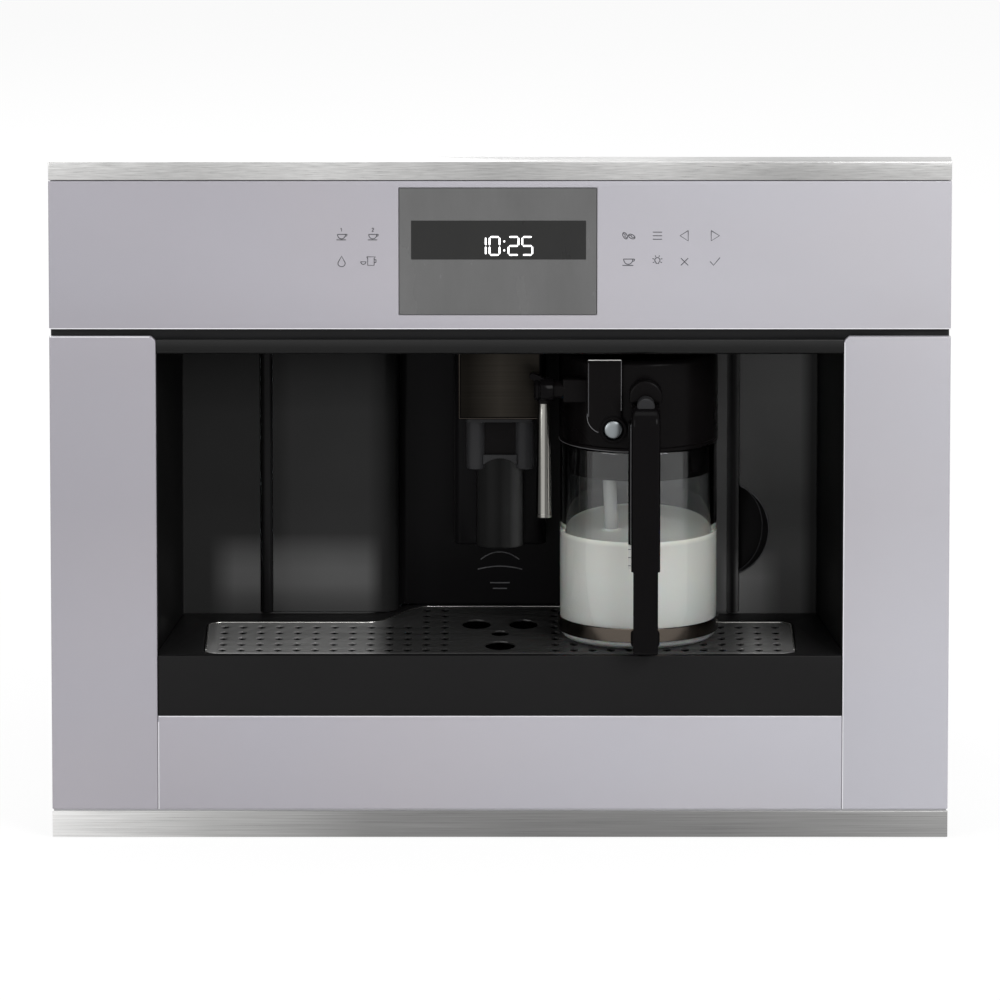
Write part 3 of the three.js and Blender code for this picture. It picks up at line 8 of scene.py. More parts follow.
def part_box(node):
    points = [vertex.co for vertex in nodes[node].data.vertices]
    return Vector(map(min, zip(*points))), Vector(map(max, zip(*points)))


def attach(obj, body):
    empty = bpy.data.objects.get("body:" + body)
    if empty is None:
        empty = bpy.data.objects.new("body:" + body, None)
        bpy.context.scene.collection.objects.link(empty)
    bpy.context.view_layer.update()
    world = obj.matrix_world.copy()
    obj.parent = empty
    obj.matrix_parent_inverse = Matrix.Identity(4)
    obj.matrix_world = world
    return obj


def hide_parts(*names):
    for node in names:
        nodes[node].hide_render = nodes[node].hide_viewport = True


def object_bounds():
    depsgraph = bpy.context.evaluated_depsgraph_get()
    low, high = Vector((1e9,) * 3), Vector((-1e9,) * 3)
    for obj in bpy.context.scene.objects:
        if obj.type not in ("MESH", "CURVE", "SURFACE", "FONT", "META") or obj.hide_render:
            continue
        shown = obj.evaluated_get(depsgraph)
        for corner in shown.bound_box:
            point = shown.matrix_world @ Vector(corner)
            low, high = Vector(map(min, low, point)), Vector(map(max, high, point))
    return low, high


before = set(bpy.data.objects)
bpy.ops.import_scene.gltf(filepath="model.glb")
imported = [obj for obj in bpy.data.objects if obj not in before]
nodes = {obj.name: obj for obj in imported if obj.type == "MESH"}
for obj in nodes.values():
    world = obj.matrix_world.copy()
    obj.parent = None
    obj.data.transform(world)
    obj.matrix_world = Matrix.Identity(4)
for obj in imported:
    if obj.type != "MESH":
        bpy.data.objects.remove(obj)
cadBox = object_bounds()
mm = 0.001
print("frame loaded:", len(nodes), "nodes")


# Sizes and places, from the frame or written in millimetres.

def low(node):
    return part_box(node)[0]


def high(node):
    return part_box(node)[1]


def reach(node, axis):
    return getattr(low(node), axis), getattr(high(node), axis)


def inMm(**sizes):
    return {key: value * mm for key, value in sizes.items()}


def pairsInMm(*pairs):
    return [(a * mm, b * mm) for a, b in pairs]


frontY = low("control_panel").y
panelTop = high("control_panel").z
wallY = frontY + 145 * mm
nicheFloor = high("drip_tray").z
jugAxis = (low("jug_glass") + high("jug_glass")) / 2
jugBase = low("jug_glass").z


# Modelling, in steps that leave no modifier behind.

def pick(*pieces):
    bpy.ops.object.select_all(action="DESELECT")
    for piece in pieces:
        piece.select_set(True)
    bpy.context.view_layer.objects.active = pieces[0]


def linked(name, data):
    piece = bpy.data.objects.new(name, data)
    bpy.context.scene.collection.objects.link(piece)
    return piece


def editAll(piece):
    pick(piece)
    bpy.ops.object.mode_set(mode="EDIT")
    bpy.ops.mesh.select_mode(type="VERT")
    bpy.ops.mesh.select_all(action="SELECT")


def closeEdit():
    bpy.ops.object.mode_set(mode="OBJECT")


def meshPiece(name, points, edges=(), faces=()):
    mesh = bpy.data.meshes.new(name)
    mesh.from_pydata([tuple(p) for p in points], edges, faces)
    return linked(name, mesh)


def modify(piece, kind, **settings):
    pick(piece)
    modifier = piece.modifiers.new(kind.lower(), kind)
    for key, value in settings.items():
        setattr(modifier, key, value)
    bpy.ops.object.modifier_apply(modifier=modifier.name)
    return piece


def bevel(piece, width, segments=2, angle=30):
    return modify(piece, "BEVEL", width=width, segments=segments,
                  limit_method="ANGLE", angle_limit=math.radians(angle))


def cutAway(piece, *others, operation="DIFFERENCE"):
    for other in others:
        modify(piece, "BOOLEAN", operation=operation, solver="EXACT", object=other)
        bpy.data.objects.remove(other)
    return piece


def merged(piece, *others):
    return cutAway(piece, *others, operation="UNION")


def smooth(piece, angle=35):
    pick(piece)
    bpy.ops.object.shade_smooth_by_angle(angle=math.radians(angle))
    return piece


def settle(piece):
    pick(piece)
    bpy.ops.object.transform_apply(location=True, rotation=True, scale=True)
    return piece


def tidyNormals(piece):
    editAll(piece)
    bpy.ops.mesh.remove_doubles(threshold=1e-6)
    bpy.ops.mesh.normals_make_consistent(inside=False)
    closeEdit()
    return piece


def joined(name, pieces):
    pick(*pieces)
    if len(pieces) > 1:
        bpy.ops.object.join()
    pieces[0].name = name
    return pieces[0]


def copies(piece, places):
    # the piece, modelled at the origin, moved to the first place and copied to the others
    pieces = [piece] + [linked(piece.name, piece.data.copy()) for _ in places[1:]]
    for each, where in zip(pieces, places):
        each.data.transform(Matrix.Translation(where))
    return pieces


def oval(a, b, across, up, start=0, end=360, steps=16):
    turns = [math.radians(start + (end - start) * i / steps) for i in range(steps + 1)]
    return [(a + across * math.cos(t), b + up * math.sin(t)) for t in turns]


def arc(a, b, radius, start, end, steps=8):
    return oval(a, b, radius, radius, start, end, steps)


def roundedBox(a0, a1, b0, b1, radius, steps=6):
    return (arc(a1 - radius, b0 + radius, radius, -90, 0, steps)
            + arc(a1 - radius, b1 - radius, radius, 0, 90, steps)
            + arc(a0 + radius, b1 - radius, radius, 90, 180, steps)
            + arc(a0 + radius, b0 + radius, radius, 180, 270, steps))


def place(axis, a, b, along):
    return {"x": (along, a, b), "y": (a, along, b), "z": (a, b, along)}[axis]


def extruded(name, outline, axis, start, end):
    # a closed outline pushed along one axis
    points = [place(axis, a, b, start) for a, b in outline]
    piece = meshPiece(name, points, faces=[tuple(range(len(points)))])
    editAll(piece)
    push = place(axis, 0, 0, end - start)
    bpy.ops.mesh.extrude_region_move(TRANSFORM_OT_translate={"value": push})
    bpy.ops.mesh.select_all(action="SELECT")
    bpy.ops.mesh.normals_make_consistent(inside=False)
    closeEdit()
    return piece


def spun(name, profile, centre, axis="z", steps=64):
    # a profile of (radius, height) pairs turned about an axis through the centre
    side = Vector((0, 1, 0)) if axis == "x" else Vector((1, 0, 0))
    along = Vector(place(axis, 0, 0, 1))
    points = [Vector(centre) + side * r + along * h for r, h in profile]
    piece = meshPiece(name, points, edges=[(i, i + 1) for i in range(len(points) - 1)])
    editAll(piece)
    bpy.ops.mesh.spin(steps=steps, angle=2 * math.pi, center=tuple(centre), axis=tuple(along))
    closeEdit()
    return tidyNormals(piece)


def rod(name, radius, start, end, centre, axis, steps):
    # a plain round bar
    return spun(name, [(0, start), (radius, start), (radius, end), (0, end)], centre, axis, steps)


def boxPiece(name, lowest, highest):
    centre = [(a + b) / 2 for a, b in zip(lowest, highest)]
    size = [b - a for a, b in zip(lowest, highest)]
    bpy.ops.object.select_all(action="DESELECT")
    bpy.ops.mesh.primitive_cube_add(size=1, location=centre, scale=size)
    piece = bpy.context.active_object
    piece.name = name
    return settle(piece)


def wire(name, strokes, radius, rounds=3):
    # thin round strokes through lists of points, as one mesh
    curve = bpy.data.curves.new(name, "CURVE")
    curve.dimensions = "3D"
    curve.bevel_depth = radius
    curve.bevel_resolution = rounds
    curve.use_fill_caps = True
    for stroke in strokes:
        spline = curve.splines.new("POLY")
        spline.points.add(len(stroke) - 1)
        for point, where in zip(spline.points, stroke):
            point.co = (*where, 1)
    pick(linked(name, curve))
    bpy.ops.object.convert(target="MESH")
    return bpy.context.active_object


def dress(piece, body, look, node=None, angle=None):
    # give a piece its shading, finish and body; a node is the CAD piece that it stands for
    if angle:
        smooth(piece, angle)
    piece.data.materials.clear()
    piece.data.materials.append(finishes[look])
    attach(piece, body)
    if node:
        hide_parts(node)
    return piece


def easeAll(rows):
    # copies of CAD nodes with their edges rounded off
    for node, name, width, segments, body, slot, look in rows:
        piece = linked(name, nodes[node].data.copy())
        editAll(piece)
        bpy.ops.mesh.remove_doubles(threshold=2e-6)
        bpy.ops.mesh.dissolve_limited(angle_limit=math.radians(0.5))
        closeEdit()
        bevel(piece, width * mm, segments)
        dress(piece, body, look, node, 35)


def edgeLine(name, strokes, radius, body, look, angle=50):
    return dress(wire(name, strokes, radius), body, look, angle=angle)


# Materials, one sheet of nodes each.

class Wired:
    # one value in a material, with the sums and products of Python
    def __init__(self, sheet, socket):
        self.sheet = sheet
        self.socket = socket

    def maths(self, operation, first, second):
        return self.sheet.add("ShaderNodeMath", {"operation": operation}, {0: first, 1: second})

    def __add__(self, other):
        return self.maths("ADD", self, other)

    __radd__ = __add__

    def __mul__(self, other):
        return self.maths("MULTIPLY", self, other)

    __rmul__ = __mul__

    def __sub__(self, other):
        return self.maths("SUBTRACT", self, other)

    def __rsub__(self, other):
        return self.maths("SUBTRACT", other, self)


class Nodes:
    # a tree and the nodes that are added to it
    def __init__(self, tree):
        self.tree = tree

    def add(self, kind, settings=None, inputs=None, output=0):
        node = self.tree.nodes.new(kind)
        for key, value in (settings or {}).items():
            if key == "stops":
                self.setStops(node.color_ramp.elements, value)
            else:
                setattr(node, key, value)
        for key, value in (inputs or {}).items():
            self.feed(node.inputs[key], value)
        return Wired(self, node.outputs[output])

    def setStops(self, elements, stops):
        while len(elements) < len(stops):
            elements.new(0.5)
        for element, (at, colour) in zip(elements, stops):
            element.position = at
            element.color = (*colour, 1) if isinstance(colour, tuple) else (colour,) * 3 + (1,)

    def feed(self, socket, value):
        if isinstance(value, Wired):
            self.tree.links.new(value.socket, socket)
        elif isinstance(value, tuple) and len(socket.default_value) == 4:
            socket.default_value = (*value, 1)
        else:
            socket.default_value = value

    def where(self, scale=1):
        size = scale if isinstance(scale, tuple) else (scale,) * 3
        spot = self.add("ShaderNodeTexCoord", output="Object")
        return self.add("ShaderNodeMapping", {}, {"Vector": spot, "Scale": size})

    def noise(self, scale, detail=3.0, rough=0.5):
        return self.add("ShaderNodeTexNoise", {"noise_dimensions": "3D"}, {
            "Vector": self.where(scale), "Scale": 1.0, "Detail": detail, "Roughness": rough})

    def ramp(self, value, stops):
        # a colour or a grey for each value, from (value, colour) pairs
        return self.add("ShaderNodeValToRGB", {"stops": stops}, {"Fac": value})

    def span(self, value, start, end, least=0.0, most=1.0):
        # a value carried from one range to another
        return self.add("ShaderNodeMapRange", {"clamp": True}, {
            "Value": value, "From Min": start, "From Max": end, "To Min": least, "To Max": most})

    def along(self, axis, start, end):
        # 0 at one place along an axis and 1 at another
        part = self.add("ShaderNodeSeparateXYZ", {}, {0: self.where()}, "XYZ".index(axis))
        return self.span(part, start, end)

    def times(self, first, second):
        # two colours multiplied
        return self.add("ShaderNodeVectorMath", {"operation": "MULTIPLY"}, {0: first, 1: second})

    def blend(self, factor, first, second):
        # two colours mixed by a value
        return self.add("ShaderNodeMix", {"data_type": "RGBA"}, {"Factor": factor, 6: first, 7: second}, 2)

    def backgroundRays(self):
        # 1 where the camera, metal or glass looks at the background
        camera, glossy, clear = [self.add("ShaderNodeLightPath", output=name) for name in (
            "Is Camera Ray", "Is Glossy Ray", "Is Transmission Ray")]
        return camera.maths("MAXIMUM", camera.maths("MAXIMUM", camera, glossy), clear)


class Sheet(Nodes):
    # a material, with the surface's fixed numbers set on its own sockets
    def __init__(self, name, **fixed):
        self.material = bpy.data.materials.new(name)
        self.material.use_nodes = True
        super().__init__(self.material.node_tree)
        self.surface = self.tree.nodes["Principled BSDF"]
        for key, value in fixed.items():
            self.put(key.replace("_", " "), value)

    def put(self, name, value):
        self.feed(self.surface.inputs[name], value)

    def rough(self, value, least, most, start=0.0, end=1.0):
        self.put("Roughness", self.span(value, start, end, least, most))

    def bump(self, height, distance, strength):
        self.put("Normal", self.add("ShaderNodeBump", {}, {
            "Height": height, "Distance": distance, "Strength": strength}))


def shade(colour, factor):
    return tuple(c * factor for c in colour)


def plasticFinish(name, colour, roughness, gloss=0.15):
    # fine-grained moulding
    sheet = Sheet(name, Specular_IOR_Level=gloss)
    cloud = sheet.noise(14, 4)
    sheet.put("Base Color", sheet.blend(cloud, shade(colour, 0.86), shade(colour, 1.14)))
    sheet.rough(cloud, roughness - 0.05, roughness + 0.05)
    sheet.bump(sheet.noise(2500, 2), 0.02 * mm, 0.5)
    return sheet.material


def glossFinish(name, colour, roughness=0.08, gloss=0.2):
    # polished moulding: faint waviness and smears in the gloss
    sheet = Sheet(name, Specular_IOR_Level=gloss)
    smear = sheet.noise((30, 30, 9), 5, 0.6)
    sheet.put("Base Color", sheet.blend(smear, shade(colour, 0.8), shade(colour, 1.25)))
    sheet.rough(smear, roughness, roughness + 0.1, 0.3, 0.7)
    sheet.bump(sheet.noise(45, 2), 0.03 * mm, 0.4)
    return sheet.material


# the panels' lilac colour, lightened from left to right by a painted reflection; painted light and shade up
# their height; a random tint
panelColourAndPaintedLight = {
    "across": [(0.0, (0.268, 0.26, 0.281)), (0.13, (0.27, 0.262, 0.283)), (0.35, (0.289, 0.281, 0.302)),
               (0.7, (0.323, 0.317, 0.337)), (1.0, (0.341, 0.337, 0.358))],
    "up": [(0.0, 1.07), (0.3, 1.02), (0.5, 0.92), (0.72, 0.93), (0.85, 1.0), (1.0, 1.0)],
    "tint": [(0.35, (1.0, 0.985, 1.0)), (0.65, (0.985, 0.985, 1.015))],
}


def panelFinish():
    # back-printed lilac glass: a satin colour under a clear face, lightened from left to right by a painted
    # reflection, with painted light and shade up its height
    sheet = Sheet("lilac_glass", Specular_IOR_Level=0.4, Coat_Weight=0.25, Coat_Roughness=0.06)
    # the lilac colour with a painted reflection, lighter to the right
    base = sheet.ramp(sheet.along("X", *reach("front_frame", "x")), panelColourAndPaintedLight["across"])
    # painted light and shade: lighter at the foot, darker across the middle
    light = sheet.ramp(sheet.along("Z", 0.0, panelTop), panelColourAndPaintedLight["up"])
    tint = sheet.ramp(sheet.noise((5, 5, 7), 2), panelColourAndPaintedLight["tint"])
    sheet.put("Base Color", sheet.times(sheet.times(base, tint), light))
    sheet.rough(sheet.noise(900, 2), 0.3, 0.38)
    return sheet.material


# painted reflections along brushed pieces: light and dark from the front's left end to its right end
steelPaintedReflections = {
    "top": [(0.0, 0.6), (0.15, 0.48), (0.3, 0.6), (0.5, 0.41), (0.66, 0.55), (0.82, 0.38), (1.0, 0.55)],
    "bottom": [(0.0, 0.76), (0.18, 0.42), (0.35, 0.24), (0.55, 0.2), (0.75, 0.215), (0.9, 0.27), (1.0, 0.32)],
    "grille": [(0.0, 0.38), (0.35, 0.38), (0.378, 0.055), (0.58, 0.05), (0.74, 0.08), (0.765, 0.14),
               (0.785, 0.32), (0.81, 0.23), (1.0, 0.23)],
    "outlet": [(0.0, 0.008), (0.465, 0.008), (0.5, 0.026), (0.525, 0.017), (1.0, 0.017)],
}


def brushedFinish(name, bands, roughness=0.3, colour=(1.0, 0.995, 0.985), grain=(10, 1400, 1400), metal=1.0):
    # steel brushed along its length: fine streaks over broad painted reflections of light and dark
    sheet = Sheet(name, Metallic=metal)
    streak = sheet.noise(grain, 4, 0.65)
    # painted reflections: broad light and dark bands along the front
    band = sheet.ramp(sheet.along("X", *reach("front_frame", "x")),
                      [(at, shade(colour, value)) for at, value in steelPaintedReflections[bands]])
    dark = sheet.ramp(streak, [(0.25, 0.72), (0.5, 0.97), (0.78, 1.22)])
    sheet.put("Base Color", sheet.times(band, dark))
    sheet.rough(streak, roughness - 0.07, roughness + 0.1, 0.2, 0.8)
    sheet.bump(streak, 0.02 * mm, 0.4)
    return sheet.material


# painted light and shade on the niche's black moulding: greys up the back wall, left and right of the jug,
# and across the column
nicheToneAndPaintedLight = {
    "left": [(0.0, 0.028), (0.4, 0.025), (0.68, 0.034), (0.78, 0.026), (0.88, 0.0115), (1.0, 0.008)],
    "leftPaintedGlow": [(0.0, 0.02), (0.05, 0.036), (0.1, 0.062), (0.15, 0.062), (0.2, 0.042), (0.27, 0.0)],
    "leftStrip": [(0.0, 0.62), (1.0, 1.0)],
    "leftBend": [(0.0, 1.0), (1.0, 0.45)],
    "right": [(0.0, 0.12), (0.2, 0.105), (0.3, 0.072), (0.38, 0.066), (0.6, 0.098), (0.72, 0.114),
              (0.85, 0.114), (1.0, 0.06)],
    "rightPaintedGlow": [(0.0, 0.1), (0.12, 0.15), (0.17, 0.08), (0.22, 0.0)],
    "rightEdge": [(0.0, 1.0), (1.0, 0.2)],
    "column": [(0.0, 0.004), (0.03, 0.012), (0.35, 0.011), (0.5, 0.006), (0.7, 0.02), (0.87, 0.08),
               (0.97, 0.06), (1.0, 0.004)],
    "soft": [(0.3, 0.88), (0.7, 1.12)],
}
nicheDark = (0.0052, 0.0049, 0.0054)


def nicheFinish():
    # black moulding with painted light on its flat back walls: a soft painted light from above and a painted
    # glow low down, as from the grille
    sheet = Sheet("niche_plastic", Specular_IOR_Level=0.05)

    def tone(value, key):
        return sheet.ramp(value, nicheToneAndPaintedLight[key])

    def across(start, end):
        return sheet.along("X", start * mm, end * mm)

    def behind(start, end):
        return sheet.along("Y", wallY + start * mm, wallY + end * mm)

    rise = sheet.along("Z", nicheFloor, 325 * mm)
    # left back wall: painted light up its height, painted shade on its left strip and where it bends into the
    # recess, and a painted glow low down
    left = (tone(rise, "left") * tone(across(-150, -140), "leftStrip") * tone(across(-89, -77), "leftBend")
            + tone(rise, "leftPaintedGlow") * (across(-196, -179) * (1 - across(-90, -79))))
    # right back wall: painted light up its height, painted shade towards its right edge, and a painted glow
    # low down
    right = (tone(rise, "right") * tone(across(202, 210), "rightEdge")
             + tone(rise, "rightPaintedGlow") * (across(148, 158) * (1 - across(176, 190))))
    both = sheet.blend(across(50, 90), left, right)
    flat = behind(-3, -1) - behind(4, 10)
    # a painted highlight down the right side of the rounded column in front of the wall
    column = tone(across(-16, 16), "column")
    dark = sheet.blend(behind(-7, -5), column, nicheDark)
    cloud = sheet.noise(9)
    sheet.put("Base Color", sheet.times(sheet.blend(flat, dark, both), tone(cloud, "soft")))
    sheet.rough(cloud, 0.26, 0.36)
    sheet.bump(sheet.noise(2500, 2), 0.01 * mm, 0.3)
    return sheet.material


def zincFinish():
    # zinc-coated sheet: spangle cells over rolled streaks
    sheet = Sheet("zinc_sheet", Metallic=0.4, Specular_IOR_Level=0.2)
    cells = sheet.add("ShaderNodeTexVoronoi", {"feature": "F1"},
                      {"Vector": sheet.where(240), "Scale": 1.0}, "Color")
    grey = sheet.add("ShaderNodeSeparateColor", {}, {0: cells})
    rolled = sheet.noise((8, 60, 8))
    sheet.put("Base Color", sheet.ramp(grey * 0.55 + rolled * 0.45, [
        (0.2, (0.34, 0.347, 0.353)), (0.5, (0.4, 0.407, 0.416)), (0.8, (0.46, 0.467, 0.474))]))
    sheet.rough(grey, 0.7, 0.8)
    sheet.bump(rolled, 0.05 * mm, 0.3)
    return sheet.material


def polishedFinish(name, colour, roughness):
    sheet = Sheet(name, Metallic=1.0)
    haze = sheet.noise(60, 4)
    sheet.put("Base Color", sheet.blend(haze, shade(colour, 0.93), colour))
    sheet.rough(haze, roughness, roughness + 0.07)
    return sheet.material


# painted reflections across the tube, from its left side to its right
spoutPaintedReflections = [(0.0, 0.03), (0.3, 0.05), (0.38, 0.34), (0.52, 0.36), (0.6, 0.1), (0.68, 0.12), (0.76, 0.4),
                (0.88, 0.3), (1.0, 0.05)]


def spoutFinish():
    # polished tube with painted reflections: dark and light streaks along it
    sheet = Sheet("spout_steel", Metallic=1.0)
    middle = sum(reach("milk_spout_tube", "x")) / 2
    streak = sheet.ramp(sheet.along("X", middle - 5.7 * mm, middle + 5.7 * mm), spoutPaintedReflections)
    haze = sheet.noise((60, 60, 20), 4)
    warm = sheet.blend(haze, (0.93, 0.91, 0.85), (1.0, 0.98, 0.91))
    sheet.put("Base Color", sheet.times(streak, warm))
    sheet.rough(haze, 0.16, 0.24)
    return sheet.material


def castFinish():
    sheet = Sheet("cast_aluminium", Metallic=0.9)
    lump = sheet.noise(220, 5, 0.6)
    sheet.put("Base Color", sheet.ramp(lump, [(0.3, (0.4, 0.405, 0.41)), (0.7, (0.62, 0.625, 0.63))]))
    sheet.rough(lump, 0.38, 0.58)
    sheet.bump(lump, 0.15 * mm, 0.5)
    return sheet.material


def clearFinish(name, colour, roughness, clarity=1.0):
    sheet = Sheet(name, Transmission_Weight=clarity, IOR=1.45)
    film = sheet.noise(25)
    sheet.put("Base Color", sheet.blend(film, shade(colour, 0.97), colour))
    sheet.rough(film, roughness, roughness + 0.03, 0.3, 0.8)
    return sheet.material


def bezelFinish():
    # gloss bar over the niche, with a painted highlight towards its top edge
    sheet = Sheet("bezel_gloss", Specular_IOR_Level=0.12)
    rise = sheet.along("Z", *reach("niche_bezel", "z"))
    sheet.put("Base Color", sheet.ramp(rise, [(0.0, 0.0045), (0.5, 0.007), (0.9, 0.015), (1.0, 0.015)]))
    sheet.rough(sheet.noise((30, 30, 9), 5, 0.6), 0.2, 0.3)
    return sheet.material


# the milk's white up its height, with painted light and shade: lighter at the foot and the top, darker just
# above the foot
milkColourAndPaintedLight = [(0.0, (0.97, 0.97, 0.95)), (0.05, (0.95, 0.95, 0.92)), (0.12, (0.67, 0.68, 0.65)),
            (0.6, (0.76, 0.76, 0.725)), (0.96, (0.74, 0.735, 0.69)), (1.0, (0.97, 0.96, 0.88))]


def milkFinish():
    sheet = Sheet("milk", Subsurface_Weight=0.15, Subsurface_Scale=0.004, Specular_IOR_Level=0.4)
    froth = sheet.noise(300)
    sheet.put("Base Color", sheet.ramp(sheet.along("Z", *reach("jug_milk", "z")), milkColourAndPaintedLight))
    sheet.rough(froth, 0.25, 0.4)
    sheet.bump(froth, 0.02 * mm, 0.3)
    return sheet.material


def boardFinish():
    # circuit board: copper tracks under green lacquer
    sheet = Sheet("circuit_board", Coat_Weight=0.3, Coat_Roughness=0.2)
    sheet.put("Base Color", sheet.add("ShaderNodeTexBrick", {}, {
        "Vector": sheet.where(160), "Scale": 1.0, "Mortar Size": 0.06,
        "Color1": (0.018, 0.12, 0.055), "Color2": (0.015, 0.1, 0.045), "Mortar": (0.05, 0.21, 0.1)}))
    sheet.rough(sheet.noise(90), 0.4, 0.55)
    return sheet.material


def hoseFinish():
    sheet = Sheet("silicone_hose", Subsurface_Weight=0.2, Subsurface_Scale=0.003)
    cloud = sheet.noise(70)
    sheet.put("Base Color", sheet.ramp(cloud, [(0.3, (0.62, 0.6, 0.55)), (0.7, (0.74, 0.72, 0.66))]))
    sheet.rough(cloud, 0.42, 0.55)
    return sheet.material


def digitsFinish():
    # lit segments of the display
    white = (1.0, 1.0, 1.0)
    sheet = Sheet("display_digits", Base_Color=white, Emission_Strength=1.0, Roughness=0.4)
    sheet.put("Emission Color", sheet.blend(sheet.noise(400, 2), shade(white, 0.97), white))
    return sheet.material


finishes = {
    "panel": panelFinish(),
    "topSteel": brushedFinish("brushed_top_trim", "top", grain=(60, 1500, 1500)),
    "bottomSteel": brushedFinish("brushed_bottom_trim", "bottom"),
    "grille": brushedFinish("brushed_grille", "grille", 0.36, metal=0.6),
    "outletFace": brushedFinish("dark_brushed_steel", "outlet", 0.38, (1.0, 0.88, 0.74)),
    "black": plasticFinish("black_moulding", (0.0065, 0.0065, 0.007), 0.42),
    "tray": plasticFinish("tray_moulding", (0.0078, 0.0076, 0.0078), 0.35, 0.08),
    "satin": plasticFinish("black_satin", (0.003, 0.0026, 0.0027), 0.28, 0.04),
    "post": plasticFinish("post_gloss", (0.008, 0.0078, 0.0082), 0.3, 0.08),
    "grey": plasticFinish("grey_moulding", (0.017, 0.017, 0.018), 0.32, 0.1),
    # a lighter black for the finger hollow's slope: painted light
    "slope": plasticFinish("hollow_slope_painted_light", (0.014, 0.0138, 0.0145), 0.3, 0.1),
    # light lines along edges: painted highlights
    "rim": plasticFinish("painted_edge_highlight", (0.1, 0.1, 0.104), 0.4),
    "fold": plasticFinish("painted_soft_highlight", (0.045, 0.045, 0.048), 0.4),
    # light lines along the glass's edges: painted highlights
    "glassEdge": plasticFinish("painted_glass_edge_highlight", (0.56, 0.555, 0.58), 0.4),
    "joint": plasticFinish("grey_joint", (0.3, 0.3, 0.31), 0.5),
    "iconInk": plasticFinish("dark_print", (0.045, 0.045, 0.05), 0.5),
    # grey print, also the painted highlight on the recess's moulded lines
    "inkAndPaintedHighlight": plasticFinish("grey_print_and_painted_highlight", (0.13, 0.13, 0.135), 0.5),
    # white print, also the painted highlight along the pilaster's top edge
    "paleInkAndPaintedHighlight": plasticFinish("white_print_and_painted_highlight", (0.6, 0.6, 0.58), 0.5),
    "gloss": glossFinish("black_gloss", (0.0026, 0.0023, 0.0025), gloss=0.035),
    "window": glossFinish("display_glass", (0.091, 0.091, 0.091), 0.2),
    "screen": glossFinish("display_screen", (0.014, 0.014, 0.0138), 0.25),
    "digits": digitsFinish(),
    "niche": nicheFinish(),
    "bezel": bezelFinish(),
    "bead": polishedFinish("rolled_steel_edge", (0.85, 0.84, 0.8), 0.22),
    "chrome": polishedFinish("chrome", (0.33, 0.32, 0.295), 0.1),
    "band": polishedFinish("steel_band", (0.1, 0.084, 0.07), 0.16),
    "silver": polishedFinish("silver_button", (0.25, 0.27, 0.28), 0.34),
    "spout": spoutFinish(),
    "zinc": zincFinish(),
    "cast": castFinish(),
    "glass": clearFinish("jug_glass", (0.93, 0.95, 0.95), 0.0),
    "tank": clearFinish("tank_plastic", (0.75, 0.8, 0.82), 0.12, 0.85),
    "tube": clearFinish("suction_plastic", (0.8, 0.8, 0.78), 0.2, 0.6),
    "milk": milkFinish(),
    "board": boardFinish(),
    "hose": hoseFinish(),
}
print("finishes made:", len(finishes))


# The front. Rows of eased pieces hold the node, name, edge in mm, segments, body, slot and finish.

frontRows = [(node, node + "_glass", 0.8, 3, "machine", "lilac_glass", "panel")
             for node in ("control_panel", "left_side_panel", "right_side_panel", "lower_panel")]
frontRows += [
    ("top_trim", "top_trim_strip", 0.5, 3, "machine", "brushed_steel", "topSteel"),
    ("bottom_trim", "bottom_trim_strip", 0.5, 3, "machine", "brushed_steel", "bottomSteel"),
    ("niche_bezel", "niche_bezel_bar", 0.6, 3, "machine", "gloss_black", "bezel"),
    ("front_frame", "front_frame_moulding", 0.4, 2, "machine", "black_plastic", "black"),
]

edgeSizes = inMm(inset=0.35, radius=0.45, corner=4)
edgeSides = [("control_panel", "bottom"), ("left_side_panel", "top"), ("right_side_panel", "left"),
             ("lower_panel", "top"), ("lower_panel", "left")]


def paintedGlassEdgeLines():
    # painted highlights: light lines along the glass's edges across the front
    inset, corner = edgeSizes["inset"], edgeSizes["corner"]
    strokes = []
    for node, side in edgeSides:
        lowest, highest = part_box(node)
        if side == "left":
            x = lowest.x + inset
            ends = [(x, lowest.z + inset), (x, highest.z - corner)]
        else:
            z = highest.z - inset if side == "top" else lowest.z + inset
            right = highest.x - (corner if node == "left_side_panel" else inset)
            ends = [(lowest.x + inset, z), (right, z)]
        strokes.append([(a, frontY + inset, b) for a, b in ends])
    edgeLine("painted_glass_edge_lines", strokes, edgeSizes["radius"], "machine", "glassEdge")


jointSizes = inMm(inset=1, front=0.8, back=2.5, lap=0.3)


def trimJoint():
    # soft joint between the glass and the bottom trim
    j = jointSizes
    start = (low("left_side_panel").x + j["inset"], frontY + j["front"], high("bottom_trim").z - j["lap"])
    end = (high("right_side_panel").x - j["inset"], frontY + j["back"], low("lower_panel").z + j["lap"])
    dress(boxPiece("trim_joint", start, end), "machine", "joint")


screenSizes = inMm(left=-58.6, right=56.7, bottom=389.7, top=415.7, corner=0.3, proud=0.08, sunk=1.5)


def displayGlass():
    # the window with its printed screen area let into the face
    piece = boxPiece("display_window_glass", *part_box("display_window"))
    bevel(piece, 0.5 * mm, 2)
    dress(piece, "machine", "window", "display_window")
    s = screenSizes
    outline = roundedBox(s["left"], s["right"], s["bottom"], s["top"], s["corner"], 2)
    screen = extruded("display_screen", outline, "y", frontY - s["proud"], frontY + s["sunk"])
    dress(screen, "machine", "screen")


digitSizes = inMm(height=12, width=6.6, pitch=9.1, stroke=1.15, left=-16.0, bottom=392.8, proud=0.16,
                  dotInset=0.6, dotPitch=3.4)
litSegments = {"0": "abcdef", "1": "bc", "2": "abged", "5": "afgcd"}


